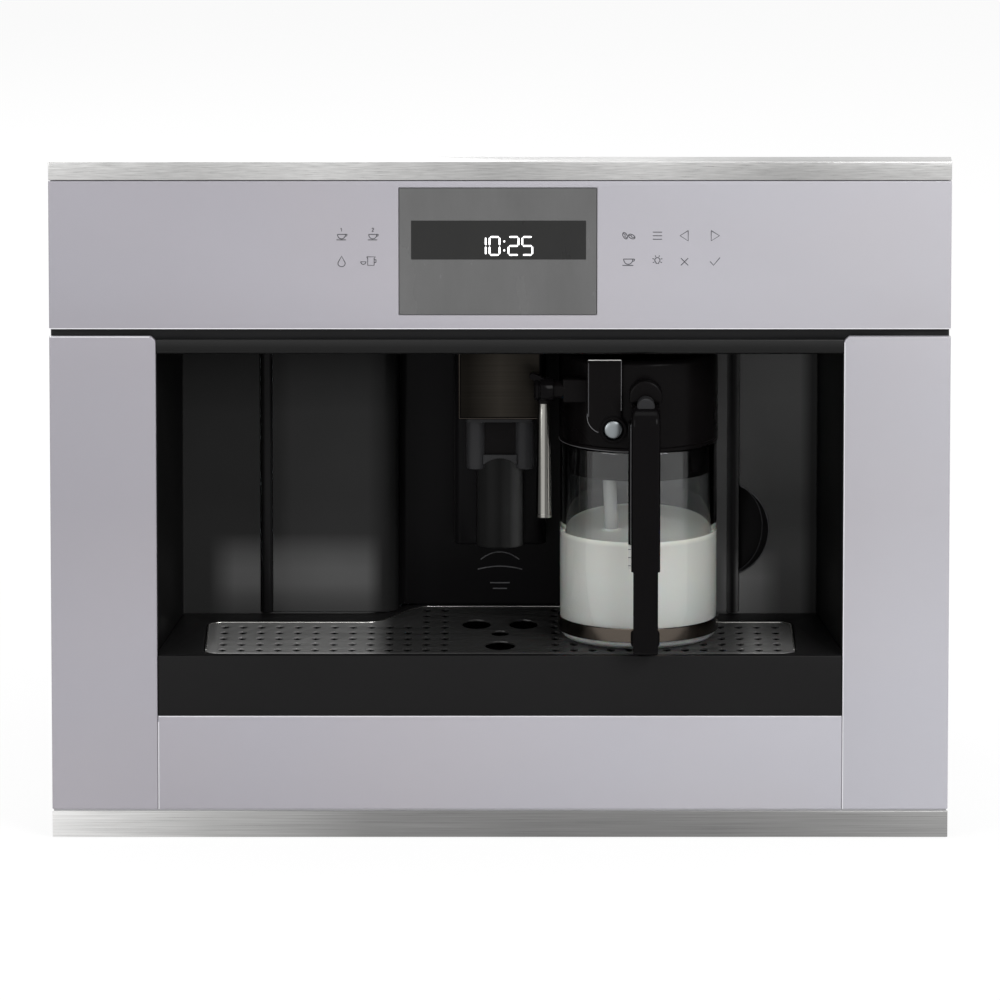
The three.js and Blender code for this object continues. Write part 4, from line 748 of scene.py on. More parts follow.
def displaySegment(ends, x, z, stroke):
    # a bar with pointed ends, lying or standing
    a0, b0, a1, b1 = ends
    lying = b0 == b1
    start, end = (a0, a1) if lying else (b0, b1)
    half, gap = stroke / 2, stroke * 0.3
    outline = [(start + gap, 0), (start + gap + half, half), (end - gap - half, half),
               (end - gap, 0), (end - gap - half, -half), (start + gap + half, -half)]
    return digitPiece([(x + a, z + b0 + b) if lying else (x + a0 + b, z + a) for a, b in outline])


def digitPiece(outline):
    return extruded("segment", outline, "y", frontY - digitSizes["proud"], frontY)


def displayDigits(shown="10:25"):
    d = digitSizes
    w, h, s = d["width"], d["height"], d["stroke"]
    ends = {"a": (0, h, w, h), "d": (0, 0, w, 0), "g": (0, h / 2, w, h / 2), "f": (0, h / 2, 0, h),
            "e": (0, 0, 0, h / 2), "b": (w, h / 2, w, h), "c": (w, 0, w, h / 2)}
    pieces = []
    x = d["left"]
    for mark in shown:
        if mark == ":":
            for z in (0.25, 0.75):
                pieces.append(digitPiece(arc(x + d["dotInset"], d["bottom"] + z * h, s * 0.55, 0, 330, 11)))
            x += d["dotPitch"]
            continue
        pieces += [displaySegment(ends[key], x, d["bottom"], s) for key in litSegments[mark]]
        x += d["pitch"]
    dress(joined("display_digits", pieces), "machine", "digits")


iconSizes = inMm(stroke=0.27, upper=405.6, lower=388.2, unit=0.66, proud=0.02)


def turned(points, a, b, turn):
    c, s = math.cos(turn), math.sin(turn)
    return [(a + c * u - s * v, b + s * u + c * v) for u, v in points]


def cupIcon(b, size=1.0):
    s = size
    return [oval(0, b + 2 * s, 4 * s, 4.6 * s, 180, 360), [(-4 * s, b + 2 * s), (5.6 * s, b + 2 * s)],
            [(5.6 * s, b + 2 * s), (5.2 * s, b + 0.4 * s), (3.4 * s, b)],
            [(-5 * s, b - 3.6 * s), (4.4 * s, b - 3.6 * s)]]


def beanIcon(a, b, turn):
    crease = [(0.5, -3), (-0.6, -0.8), (0.6, 0.8), (-0.5, 3)]
    return [turned(oval(0, 0, 2.0, 3.6), a, b, turn), turned(crease, a, b, turn)]


def touchIcons():
    # each mark is drawn in its own units, about 12 across, round its middle
    one = [[(-0.9, 6.9), (0, 7.6), (0, 4.4)]]
    two = [oval(0, 6.8, 0.9, 0.9, 160, -30, 6) + [(-0.9, 4.4), (0.9, 4.4)]]
    belly = oval(0, -1.6, 3.6, 3.4, -220, 40, 18)
    drop = [belly + [(0, 5.6), belly[0]]]
    jug = [[(-2, 5), (6.5, 5), (5.4, 3.4), (5.4, -3.6), (-1, -3.6), (-1, 3.4), (-2, 5)],
           [(5.4, 2.2), (7.4, 2.0), (7.2, -0.6), (5.4, -1.0)],
           oval(-5.4, 0, 2.6, 2.6, 180, 360, 8) + [(-8, 0)]]
    lamp = [oval(0, 1.6, 2.6, 2.6, -60, 240, 14), [(-1.3, -0.6), (-1.3, -1.8), (1.3, -1.8), (1.3, -0.6)]]
    lamp += [turned([(3.6, 0), (5.2, 0)], 0, 1.6, math.radians(turn)) for turn in range(-30, 211, 48)]
    arrow = [(3.6, 5.2), (-4.6, 0), (3.6, -5.2), (3.6, 5.2)]
    bars = [[(-4.6, b), (4.6, b)] for b in (3.6, 0, -3.6)]
    cross = [[(-3.6, 3.6), (3.6, -3.6)], [(-3.6, -3.6), (3.6, 3.6)]]
    tick = [[(-4.6, 0.2), (-1.2, -3.6), (5.2, 4.2)]]
    upper = {-104.4: cupIcon(-0.6) + one, -83.8: cupIcon(-0.6) + two,
             84.5: beanIcon(-3.2, 0, 0.5) + beanIcon(3.4, -0.8, 1.1), 103.7: bars,
             121.6: [arrow], 141.5: [[(-a, b) for a, b in arrow]]}
    lower = {-104.4: drop, -86.5: jug, 84.5: cupIcon(0.4, 1.15), 103.7: lamp, 121.6: cross, 141.5: tick}
    u = iconSizes["unit"]
    strokes = [[(x * mm + a * u, frontY + iconSizes["proud"], height + b * u) for a, b in line]
               for row, height in ((upper, iconSizes["upper"]), (lower, iconSizes["lower"]))
               for x, lines in row.items() for line in lines]
    dress(wire("touch_icons", strokes, iconSizes["stroke"], 1), "machine", "iconInk")


easeAll(frontRows)
paintedGlassEdgeLines()
trimJoint()
displayGlass()
displayDigits()
touchIcons()
print("front done")


# The niche: liner, service door, drip tray and grille.

nicheRows = [
    ("niche_liner", "niche_liner_moulding", 1.0, 3, "machine", "black_plastic", "niche"),
    ("door_hinge_post", "door_hinge_upright", 0.3, 2, "machine", "gloss_black", "post"),
    ("drip_tray", "drip_tray_basin", 0.7, 3, "tray", "black_plastic", "tray"),
    ("drip_grille", "drip_grille_plate", 0.25, 2, "tray", "brushed_steel", "grille"),
]

doorSizes = inMm(left=-152.9, right=160.6, thick=3, bendRound=12, corner=6, recessLeft=-68, recessRight=46,
                 back=172, columnRadius=16, columnFront=100, columnBack=141, columnFoot=175.7, fairing=31,
                 fairingFront=140, fairingFoot=170.7, edge=1, bead=4, socket=9.2, socketDeep=6,
                 socketRise=168)


def serviceDoor():
    # a bent sheet with a recess, its guide column on a fairing, a bead down its free edge
    d = doorSizes
    lowest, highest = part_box("service_door")
    back = frontY + d["back"]

    def face(offset):
        bend, corner = d["bendRound"] - offset, d["corner"] + offset
        f, b = wallY + offset, back + offset
        l, r = d["recessLeft"] - offset, d["recessRight"] + offset
        return ([(d["left"], f)] + arc(l - bend, f + bend, bend, -90, 0, 10)
                + arc(l + corner, b - corner, corner, 180, 90, 8)
                + arc(r - corner, b - corner, corner, 90, 0, 8)
                + arc(r + bend, f + bend, bend, 180, 270, 10) + [(d["right"], f)])

    def upright(name, outline, foot):
        return extruded(name, outline, "z", foot, highest.z)

    piece = upright("service_door_skin", face(0) + face(d["thick"])[::-1], lowest.z)
    r, columnBack = d["columnRadius"], frontY + d["columnBack"]
    column = [(-r, columnBack)] + arc(0, frontY + d["columnFront"] + r, r, 180, 360, 28) + [(r, columnBack)]
    post = bevel(upright("column", column, d["columnFoot"]), d["edge"], 3, 60)
    block = roundedBox(-d["fairing"], d["fairing"], frontY + d["fairingFront"], back + 1 * mm, d["corner"])
    fairing = bevel(upright("fairing", block, d["fairingFoot"]), d["edge"], 3, 60)
    bead = upright("bead", arc(d["right"] - d["bead"], wallY + 1 * mm, d["bead"], 0, 348, 29), lowest.z)
    merged(piece, post, fairing, bead)
    deep = d["socketDeep"]
    socket = rod("socket", d["socket"], -deep, deep, (jugAxis.x, wallY, jugBase + d["socketRise"]), "y", 40)
    dress(cutAway(piece, socket), "machine", "niche", "service_door", 40)


# height of each line: half its length and how far its middle rises, all in mm
recessLines = {154.2: (13, 5.2), 147.4: (15, 2.1), 138.1: (6.6, 0), 134.2: (4.8, 0)}


def recessMoulding():
    # thin moulded lines on the recess wall under the column, light grey as painted highlights along them: two
    # shallow arches over two straight bars
    y = frontY + doorSizes["back"] - 0.2 * mm
    steps = [i / 8 - 1 for i in range(17)]
    strokes = [[(t * half * mm, y, (z + crown * (1 - t * t)) * mm) for t in steps]
               for z, (half, crown) in recessLines.items()]
    edgeLine("recess_lines", strokes, 0.42 * mm, "machine", "inkAndPaintedHighlight")


hollowSizes = inMm(x=148.2, z=180, radius=32.8, slope=4.2, low=1.2, start=145.4, end=149.5, line=0.4)
hollowTurn, hollowSteps = 65, 30


def fingerSlope():
    # the finger hollow's wall runs in towards its floor: a crescent, a little wider below
    h, steps = hollowSizes, hollowSteps
    turns = [math.radians(hollowTurn * (2 * i / steps - 1)) for i in range(steps + 1)]
    points = []
    for turn in turns:
        across, up = math.cos(turn), math.sin(turn)
        inner = h["radius"] - h["slope"] * across * across + h["low"] * up * across
        for radius, y in ((h["radius"], h["start"]), (inner, h["end"]), (h["radius"], h["end"])):
            points.append((h["x"] + radius * across, frontY + y, h["z"] + radius * up))
    faces = [(3 * i + j, 3 * i + k, 3 * i + 3 + k, 3 * i + 3 + j)
             for i in range(steps) for j, k in ((0, 1), (1, 2), (2, 0))]
    faces += [(0, 1, 2), (3 * steps + 2, 3 * steps + 1, 3 * steps)]
    piece = tidyNormals(meshPiece("finger_hollow_slope", points, faces=faces))
    # the slope is a lighter black than the moulding round it: painted light
    dress(piece, "machine", "slope", angle=40)
    # painted highlights along the hollow's edges
    rimY = frontY + h["start"] - 0.1 * mm
    rim = [(x, rimY, z) for x, z in arc(h["x"], h["z"], h["radius"], -hollowTurn, hollowTurn, steps)]
    fold = [Vector(point) - Vector((0, 0.2 * mm, 0)) for point in points[1::3]]
    for look, stroke in (("rim", rim), ("fold", fold)):
        edgeLine("finger_hollow_" + look, [stroke], h["line"], "machine", look)


beadSizes = inMm(inset=0.6, front=12, rear=112.5, inner=48, outer=88, corner=9.4, radius=0.5, sunk=0.15)


def grilleBead():
    # bright rolled edge round the back and sides of the grille, following its S-bends
    b = beadSizes
    lowest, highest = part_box("drip_grille")
    half, corner = highest.x - b["inset"], b["corner"]
    rear, back = frontY + b["rear"] - b["inset"], highest.y - b["inset"]
    side = [(half, lowest.y + b["front"])] + arc(half - corner, rear - corner, corner, 0, 90, 8)
    for t in [i / 12 for i in range(13)]:
        side.append((b["outer"] + (b["inner"] - b["outer"]) * t,
                     rear + (back - rear) * (1 - math.cos(math.pi * t)) / 2))
    stroke = [(x, y, highest.z - b["sunk"]) for x, y in side + [(-x, y) for x, y in side[::-1]]]
    edgeLine("grille_edge_bead", [stroke], b["radius"], "tray", "bead")


easeAll(nicheRows)
serviceDoor()
recessMoulding()
fingerSlope()
grilleBead()
print("niche done")


# The coffee outlet.

plateSizes = inMm(proud=0.7, sunk=0.5, inset=1.6, top=0.6, corner=1.2, edge=0.35, lineInset=0.7, lineRise=0.8,
                  lineTop=1, lineProud=0.1, line=0.35)


def coffeeOutlet():
    p = plateSizes
    easeAll([("coffee_outlet_housing", "coffee_outlet_shell", 1.2, 3, "outlet", "gloss_black", "gloss")])
    lowest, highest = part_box("coffee_outlet_housing")
    left, right = lowest.x + p["inset"], highest.x - p["inset"]
    outline = roundedBox(left, right, lowest.z + p["inset"], highest.z - p["top"], p["corner"])
    plate = extruded("coffee_outlet_face", outline, "y", lowest.y - p["proud"], lowest.y + p["sunk"])
    dress(bevel(plate, p["edge"], 3, 60), "outlet", "outletFace", angle=35)
    # bright line along the face's lower and left edges
    left, right = lowest.x + p["lineInset"], highest.x - p["lineInset"]
    bottom = lowest.z + p["lineRise"]
    corners = [(left, highest.z - p["lineTop"]), (left, bottom), (right, bottom)]
    stroke = [(x, lowest.y - p["lineProud"], z) for x, z in corners]
    edgeLine("coffee_outlet_trim", [stroke], p["line"], "outlet", "band", 35)


nozzleSizes = inMm(radius=6.2, bore=3.4, spacing=32.6, overlap=1.2, webFront=1.6, webBack=4, webFoot=7,
                   webTop=1, lipFoot=3.4, lipTop=10, lipFront=4.8, lipBack=1, archDrop=8, archRadius=15.6,
                   plate=3, corner=4)


def coffeeNozzles():
    # two turned outlets, the web and the arched lip between them, and the plate that carries them
    n = nozzleSizes
    lowest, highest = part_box("coffee_nozzles")
    y = (lowest.y + highest.y) / 2
    r, bore, length = n["radius"], n["bore"], highest.z - lowest.z
    profile = [(bore, 2 * mm), (bore, 0.5 * mm), (bore + 0.5 * mm, 0), (r - 1.4 * mm, 0),
               (r - 0.5 * mm, 0.5 * mm), (r - 0.15 * mm, 1.6 * mm), (r, 4 * mm), (r, length - 3.2 * mm),
               (r + 0.4 * mm, length - 2.6 * mm), (r + 0.4 * mm, length), (0, length), (0, 12 * mm),
               (bore, 11 * mm), (bore, 2 * mm)]
    apart = n["spacing"] / 2
    barrel = smooth(spun("barrel", profile, (0, 0, 0), "z", 48))
    pieces = copies(barrel, [(x, y, lowest.z) for x in (-apart, apart)])
    half = apart - r + n["overlap"]
    front, back = y - n["webFront"], y + n["webBack"]
    web = extruded("coffee_nozzle_web", [(-half, front), (half, front), (half, back), (-half, back)],
                   "z", lowest.z + n["webFoot"], highest.z - n["webTop"])
    dress(web, "outlet", "satin")
    foot, top = lowest.z + n["lipFoot"], lowest.z + n["lipTop"]
    arch = ([(-half, foot)] + arc(0, lowest.z - n["archDrop"], n["archRadius"], 132, 48, 14)
            + [(half, foot), (half, top), (-half, top)])
    pieces.append(bevel(extruded("lip", arch, "y", y - n["lipFront"], y + n["lipBack"]), 0.5 * mm, 2, 50))
    outline = roundedBox(lowest.x, highest.x, lowest.y, highest.y, n["corner"])
    plate = extruded("plate", outline, "z", highest.z - n["plate"], highest.z)
    pieces.append(bevel(plate, 0.4 * mm, 2, 60))
    dress(joined("coffee_nozzle_block", pieces), "outlet", "grey", "coffee_nozzles", 40)


coffeeOutlet()
coffeeNozzles()
print("coffee outlet done")


# The milk jug. Its heights are counted from its foot.

jugSizes = {
    **inMm(wall=2.5, round=6.5, wetting=0.15, bandPlay=0.05, bandProud=1.25, bandEdge=0.35),
    "radius": (high("jug_glass").x - low("jug_glass").x) / 2,
    "height": high("jug_glass").z - jugBase, "milk": high("jug_milk").z - jugBase,
    "band": low("jug_band").z - jugBase, "bandHeight": high("jug_band").z - low("jug_band").z,
}
lidSizes = {
    **inMm(rise=61.5, skirt=20, lap=2, wall=6, pilasterLeft=-35, pilasterRight=-11.7, pilasterFoot=13,
           pilasterTop=1.5, pilasterProud=1.5, bossProud=3, buttonX=-17.3, buttonZ=15.8, buttonRadius=6.7),
    "base": jugSizes["height"] + 0.3 * mm, "outer": jugSizes["radius"] + 0.5 * mm,
}
handleSizes = {
    **inMm(left=-5.6, right=13.6, thick=14, proud=18, neck=14, step=59.5, foot=3.2, hood=11, hoodProud=12,
           middle=4, lug=5.8, edge=5, cut=1.4, footRound=4, webRound=6),
    "top": jugSizes["height"] + 35.5 * mm,
}


# the lid's round parts: radius, start, end, place, axis and steps; places are in mm from the jug's foot
lidRods = {
    "arm": (6, 0, 27, (-56.5, -39, 174), "x", 32),
    "neck": (12, 0, 24, (0, 44, 168), "y", 40),
    "bore": (6, 2, 26, (0, 44, 168), "y", 32),
    "duct": (7.5, 0, 60, (-20.5, -10, 125.8), "z", 32),
}
lidRoot = ((-50.8, -45, 166), (-28, -31, 182))


def jugCentre(height=0.0):
    return (jugAxis.x, jugAxis.y, jugBase + height)


def fromFoot(x, y, z):
    return (jugAxis.x + x * mm, jugAxis.y + y * mm, jugBase + z * mm)


def jugSpun(name, profile, look, node, angle):
    dress(spun(name, profile, jugCentre(), "z", 96), "jug", look, node, angle)


def jugGlass():
    j = jugSizes
    r, w, c = j["radius"], j["wall"], j["round"]
    profile = (pairsInMm((0, 1.2), (28, 0.9), (34, 0)) + arc(r - c, c, c, -90, 0, 10)
               + arc(r - w / 2, j["height"] - w / 2, w / 2, 0, 180, 8)
               + arc(r - c, c, c - w, 0, -90, 10) + [(0, w)])
    jugSpun("jug_glass_body", profile, "glass", "jug_glass", 60)


def jugMilk():
    # the milk wets the glass, so its skin lies just inside the wall
    j = jugSizes
    r = j["radius"] - j["wall"] + j["wetting"]
    c = j["round"] - j["wall"]
    base, top = j["wall"] - j["wetting"], j["milk"]
    profile = ([(0, base)] + arc(r - c, base + c, c, -90, 0, 10)
               + [(r, top + 0.8 * mm), (r - 0.5 * mm, top + 0.25 * mm), (r - 1.6 * mm, top), (0, top)])
    jugSpun("jug_milk_body", profile, "milk", "jug_milk", 50)
    # the milk's skin climbs a little round the suction tube
    ripple = pairsInMm((4.7, -0.4), (4.7, 0.9), (5.4, 0.35), (6.8, 0.06), (8.4, -0.4), (4.7, -0.4))
    x, y, z = jugCentre(top)
    collar = spun("jug_milk_collar", ripple, (x - 18.1 * mm, y - 10 * mm, z), "z", 40)
    dress(collar, "jug", "milk", angle=60)


def jugBand():
    j = jugSizes
    inner, outer = j["radius"] + j["bandPlay"], j["radius"] + j["bandProud"]
    foot, top, e = j["band"], j["band"] + j["bandHeight"], j["bandEdge"]
    profile = [(inner, foot), (outer - e, foot), (outer, foot + e), (outer, top - e), (outer - e, top),
               (inner, top), (inner, foot)]
    jugSpun("jug_band_ring", profile, "band", "jug_band", 40)


def jugLid():
    # a turned lid with the pilaster, button boss, spout arm, nozzle neck, suction duct and handle hood on it
    j, d, h = jugSizes, lidSizes, handleSizes
    base, outer, wall = d["base"], d["outer"], d["wall"]
    inside = j["radius"] - j["wall"] - 0.6 * mm
    skirtIn, skirtFoot = inside - d["lap"], base - d["skirt"]
    top = base + d["rise"]
    e = 4 * mm
    shell = ([(skirtIn, skirtFoot), (inside, skirtFoot), (inside, base), (outer - 0.4 * mm, base),
              (outer, base + 0.4 * mm), (outer, base + 2.2 * mm), (outer - 0.5 * mm, base + 2.7 * mm),
              (outer, base + 3.2 * mm)] + arc(outer - e, top - e, e, 0, 90, 6)
             + [(0, top), (0, top - wall), (outer - wall, top - wall), (outer - wall, base + 2 * mm),
                (skirtIn, base), (skirtIn, skirtFoot)])
    piece = spun("jug_lid_body", shell, jugCentre(), "z", 96)
    cx, cy, z0 = jugCentre()
    lidBack = cy - 38 * mm
    left, right = cx + d["pilasterLeft"], cx + d["pilasterRight"]
    half = (d["pilasterRight"] - d["pilasterLeft"]) / 2
    crown = z0 + top + d["pilasterTop"]
    outline = ([(left, crown)] + arc(left + half, z0 + base + d["pilasterFoot"] + half, half, 180, 360, 24)
               + [(right, crown)])
    pilaster = extruded("pilaster", outline, "y", cy - outer - d["pilasterProud"], lidBack)
    bevel(pilaster, 1.0 * mm, 3, 60)
    button = (cx + d["buttonX"], cy - outer - d["bossProud"], z0 + base + d["buttonZ"])
    br, deep = d["buttonRadius"], 14 * mm
    out = br + 2.5 * mm
    boss = spun("boss", [(0, 0), (br + 1.7 * mm, 0), (out, 0.8 * mm), (out, deep), (0, deep)],
                button, "y", 48)
    well = rod("well", br + 0.3 * mm, -1 * mm, 7 * mm, button, "y", 48)
    arm, neck, bore, duct = [rod(name, radius * mm, start * mm, end * mm, fromFoot(*spot), axis, steps)
                             for name, (radius, start, end, spot, axis, steps) in lidRods.items()]
    root = bevel(boxPiece("root", *[fromFoot(*corner) for corner in lidRoot]), 1.5 * mm, 3)
    hoodX, hoodZ, r = cx + h["middle"], z0 + h["top"] + 0.3 * mm, h["hood"]
    arch = [(hoodX + r, hoodZ)] + arc(hoodX, hoodZ + 4 * mm, r, 0, 180, 24) + [(hoodX - r, hoodZ)]
    hood = bevel(extruded("hood", arch, "y", cy - outer - h["hoodProud"], lidBack), 1.6 * mm, 4, 60)
    merged(piece, pilaster, boss, arm, root, neck, duct, hood)
    cutAway(piece, well, bore)
    dress(piece, "jug", "satin", "jug_lid", 32)


def buttonRing():
    # ring round the button's well
    d = lidSizes
    x, y, z = jugCentre(d["base"] + d["buttonZ"])
    br = d["buttonRadius"]
    profile = [(br + a, b) for a, b in pairsInMm((0.35, 0.3), (0.6, -0.15), (1.1, -0.15), (1.5, 0.4),
                                                 (0.35, 0.5), (0.35, 0.3))]
    ring = spun("milk_button_ring", profile, (x + d["buttonX"], y - d["outer"] - d["bossProud"], z), "y", 56)
    dress(ring, "jug", "gloss", angle=50)


# shares of the button's radius, and how deep the cap's face lies there in mm
buttonDome = [(0, 0.02), (0.3, 0.1), (0.55, 0.32), (0.75, 0.7), (0.9, 1.25), (0.975, 1.9), (1, 2.6), (1, 4.8),
              (0, 4.8)]


def milkButton():
    x, z = [sum(reach("milk_button", axis)) / 2 for axis in "xz"]
    profile = [(lidSizes["buttonRadius"] * share, deep * mm) for share, deep in buttonDome]
    piece = spun("milk_button_cap", profile, (x, low("milk_button").y, z), "y", 56)
    dress(piece, "button", "silver", "milk_button", 50)


def jugHandle():
    # a bent grip cut to the lid's and the band's rounds, a little narrower below the step
    h, j = handleSizes, jugSizes
    cx, cy, z0 = jugCentre()
    front = frontY - h["proud"]
    back = front + h["thick"]
    lidFront = cy - j["radius"] - 0.9 * mm + 5 * mm
    bandFront = cy - j["radius"] - 1.7 * mm + 3 * mm
    r, fr, wr = h["thick"] - 1 * mm, h["footRound"], h["webRound"]
    top, foot = z0 + h["top"], z0 + h["foot"]
    footTop = z0 + j["band"] + j["bandHeight"]
    outline = ([(lidFront, top)] + arc(front + r, top - r, r, 90, 180, 14)
               + arc(front + fr, foot + fr, fr, 180, 270, 8)
               + [(back + 2 * mm, foot), (bandFront, footTop - j["bandHeight"]), (bandFront, footTop),
                  (back + 3 * mm, footTop + 3 * mm)]
               + arc(back + wr, footTop + 12 * mm, wr, 230, 180, 4)
               + arc(back + wr, top - h["neck"] - wr, wr, 180, 90, 8) + [(lidFront, top - h["neck"])])
    left, right, cut = cx + h["left"], cx + h["right"], h["cut"]
    piece = extruded("jug_handle_grip", outline, "x", left, right)
    shaves = [boxPiece("shave", (start, front - 1 * mm, z0), (end, back + 9 * mm, z0 + h["step"]))
              for start, end in ((right - cut, right + 1 * mm), (left - 1 * mm, left + cut))]
    bevel(piece, h["edge"], 6, 60)
    lidRound = rod("lidRound", j["radius"] + 0.8 * mm, 0, 0.22, jugCentre(), "z", 96)
    bandRound = rod("bandRound", j["radius"] + 1.6 * mm, 0, 0.06, jugCentre(), "z", 96)
    cutAway(piece, *shaves, lidRound, bandRound)
    dress(piece, "jug", "gloss", "jug_handle", 45)


railSizes = inMm(proud=1.9, lap=0.4, front=8, stripBack=5.5, stripFoot=59.7, stripTop=76, railBack=4,
                 railFoot=76.3, railTop=158, edgeFoot=77, edgeTop=157, markFoot=62, markPitch=5.5, mark=0.5)


def handleDetails():
    # lug on the handle's top, and the printed level strip and rail on its left flank
    h, s = handleSizes, railSizes
    cx, cy, z0 = jugCentre()
    start = frontY - 10 * mm
    length = cy - jugSizes["radius"] - 0.9 * mm - h["hoodProud"] - 1.2 * mm - start - 0.5 * mm
    r, e = h["lug"], 0.8 * mm
    lug = spun("handle_lug", [(0, 0), (r - e, 0), (r, e), (r, length), (0, length)],
               (cx + h["middle"], start + 0.3 * mm, z0 + h["top"]), "y", 48)
    dress(lug, "jug", "grey", angle=40)
    left = cx + h["left"]

    def flankBox(name, back, foot, top):
        return boxPiece(name, (left - s["proud"], frontY - s["front"], z0 + foot),
                        (left + s["lap"], back, z0 + top))

    strip = flankBox("level_strip", frontY - s["stripBack"], s["stripFoot"], s["stripTop"])
    dress(bevel(strip, 0.3 * mm, 2), "jug", "paleInkAndPaintedHighlight")
    rail = flankBox("handle_rail", frontY + s["railBack"], s["railFoot"], s["railTop"])
    dress(bevel(rail, 0.5 * mm, 3), "jug", "gloss", angle=40)
    y = frontY - s["front"] - 0.1 * mm
    # painted highlight: a light line down the rail's front edge
    edge = [(left - 0.2 * mm, y, z0 + z) for z in (s["edgeFoot"], s["edgeTop"])]
    edgeLine("handle_rail_edge", [edge], 0.3 * mm, "jug", "rim")
    marks = []
    for number in range(3):
        z = z0 + s["markFoot"] + number * s["markPitch"]
        start, end = (left - 1.95 * mm, y, z), (left - 0.2 * mm, y + 1.1 * mm, z + s["mark"])
        marks.append(boxPiece("mark", start, end))
    dress(joined("level_marks", marks), "jug", "inkAndPaintedHighlight")


glintSizes = inMm(fine=0.25, soft=0.7, top=0.35, inset=0.4)


def jugPaintedGlints():
    # painted highlights: light lines along the edges of the jug's black parts
    d, h, g = lidSizes, handleSizes, glintSizes
    cx, cy, z0 = jugCentre()
    base, outer, inset = z0 + d["base"], d["outer"], g["inset"]
    face = cy - outer - d["pilasterProud"] + g["fine"]
    left, right = cx + d["pilasterLeft"], cx + d["pilasterRight"]
    half = (right - left) / 2
    bendZ = base + d["pilasterFoot"] + half
    topZ = base + d["rise"] + d["pilasterTop"] - g["top"]
    crown = [(left + 1 * mm, face, topZ), (right - inset, face, topZ)]
    flank = [(left + 1.3 * mm, face + g["soft"] - 0.3 * mm, z) for z in (bendZ, topZ - 2 * mm)]
    bend = [(a, face, b) for a, b in arc(left + half, bendZ, half - inset, 170, 250, 14)]
    side = [(right - inset, face, z) for z in (bendZ + 4 * mm, topZ)]
    skirt = [(a, b, base + 0.5 * mm) for a, b in arc(cx, cy, outer + 0.02 * mm, 175, 262, 30)]
    grip = [(cx + h["right"] - 1.5 * mm, frontY - h["proud"] + 1.5 * mm, z)
            for z in (z0 + h["step"] + 4 * mm, z0 + h["top"] - 16 * mm)]
    for name, strokes, width, look in (("pilaster_top_edge", [crown], "top", "paleInkAndPaintedHighlight"),
                                       ("pilaster_soft_edge", [flank], "soft", "fold"),
                                       ("jug_fine_edges", [bend, side, skirt, grip], "fine", "rim")):
        edgeLine(name, strokes, g[width], "jug", look)


tubeSizes = inMm(bore=3.1, radius=4.6)
tubeEnds = ((-16, -10, 25), (-20.5, -10, 125.5))


def suctionTube():
    # a pipe from near the jug's floor up to the lid, leaning a little
    foot, top = [Vector(fromFoot(*end)) for end in tubeEnds]
    inner, outer, length = tubeSizes["bore"], tubeSizes["radius"], (top - foot).length
    profile = [(inner, 0), (outer, 0), (outer, length), (inner, length), (inner, 0)]
    piece = spun("suction_pipe", profile, (0, 0, 0), "z", 32)
    piece.rotation_euler = (top - foot).to_track_quat("Z", "Y").to_euler()
    piece.location = foot
    dress(settle(piece), "jug", "tube", "suction_tube", 40)


spoutPlace = (-63.3, -39, 174)
# outlines round the head's middle; the turned ones are pairs of radius and height
spoutOutlines = {
    "head": pairsInMm((0, -6.5), (6.4, -6.5), (7.6, -5.3), (7.6, -3.7), (6.9, -3.3), (6.9, -2.6), (8, -2.1),
                      (8, 5.7), (7.4, 6.5), (0, 6.5)),
    "stem": pairsInMm((0, -13), (3, -13), (3, -9.5), (4.2, -9), (4.6, -6), (4.6, 0), (0, 0)),
    "tab": pairsInMm((-1.5, 2), (-9.8, 8.6), (-9.5, 10.4), (-7.3, 11.8), (-2.5, 9.4), (3.5, 6)),
    "tube": pairsInMm((3.3, -86), (5.2, -86), (5.7, -85.5), (5.7, -83.6), (5.45, -83.3), (4.4, -17), (4, -15),
                      (3.7, -9), (3.3, -9), (3.3, -86)),
}


def milkSpout():
    # a head that turns on the lid's arm, with its finger tab, and the tube that widens downwards
    s = spoutOutlines
    x, y, z = centre = fromFoot(*spoutPlace)
    head = spun("head", s["head"], centre, "x", 48)
    stem = spun("stem", s["stem"], centre, "z", 40)
    tab = extruded("tab", [(x + a, z + b) for a, b in s["tab"]], "y", y - 3 * mm, y + 3 * mm)
    merged(head, stem, bevel(tab, 0.7 * mm, 3, 25))
    head.name = "milk_spout_joint"
    dress(head, "milk_spout", "gloss", "milk_spout_head", 40)
    tube = spun("milk_spout_pipe", s["tube"], centre)
    dress(tube, "milk_spout", "spout", "milk_spout_tube", 30)


for build in (jugGlass, jugMilk, jugBand, jugLid, buttonRing, milkButton, jugHandle, handleDetails, jugPaintedGlints,
              suctionTube, milkSpout):
    build()
print("jug done")


# The case and the pieces inside it.

def zincRow(node, name, width, body="machine"):
    return (node, name, width, 2, body, "zinc_sheet", "zinc")


sheetEdges = {"base_pan": 0.3, "left_side_sheet": 0.4, "right_side_sheet": 0.4, "top_panel": 0.4,
              "rear_panel": 0.4, "inner_chassis": 0.3, "left_inner_runner": 0.25, "right_inner_runner": 0.25}
sheetRows = [zincRow(node, node + "_sheet", width) for node, width in sheetEdges.items()]
for side in ("left", "right"):
    sheetRows.append(zincRow(side + "_fixed_runner", side + "_fixed_rail", 0.25, "runners"))
    sheetRows.append(zincRow(side + "_middle_runner", side + "_middle_rail", 0.25, "runner_middles"))

screwSizes = inMm(head=3.6, height=1.5, recess=1.7, sink=0.5)
screwPlaces = {
    **inMm(rearSide=14, rearEdge=10, rearInset=8, sideInset=12),
    "rearRises": (0.12, 0.21, 0.3), "topX": (-0.25, 0.25), "topY": (-0.155, -0.04, 0.075, 0.19),
    "sideY": (-0.14, 0.02, 0.18), "sideLow": 0.1,
}


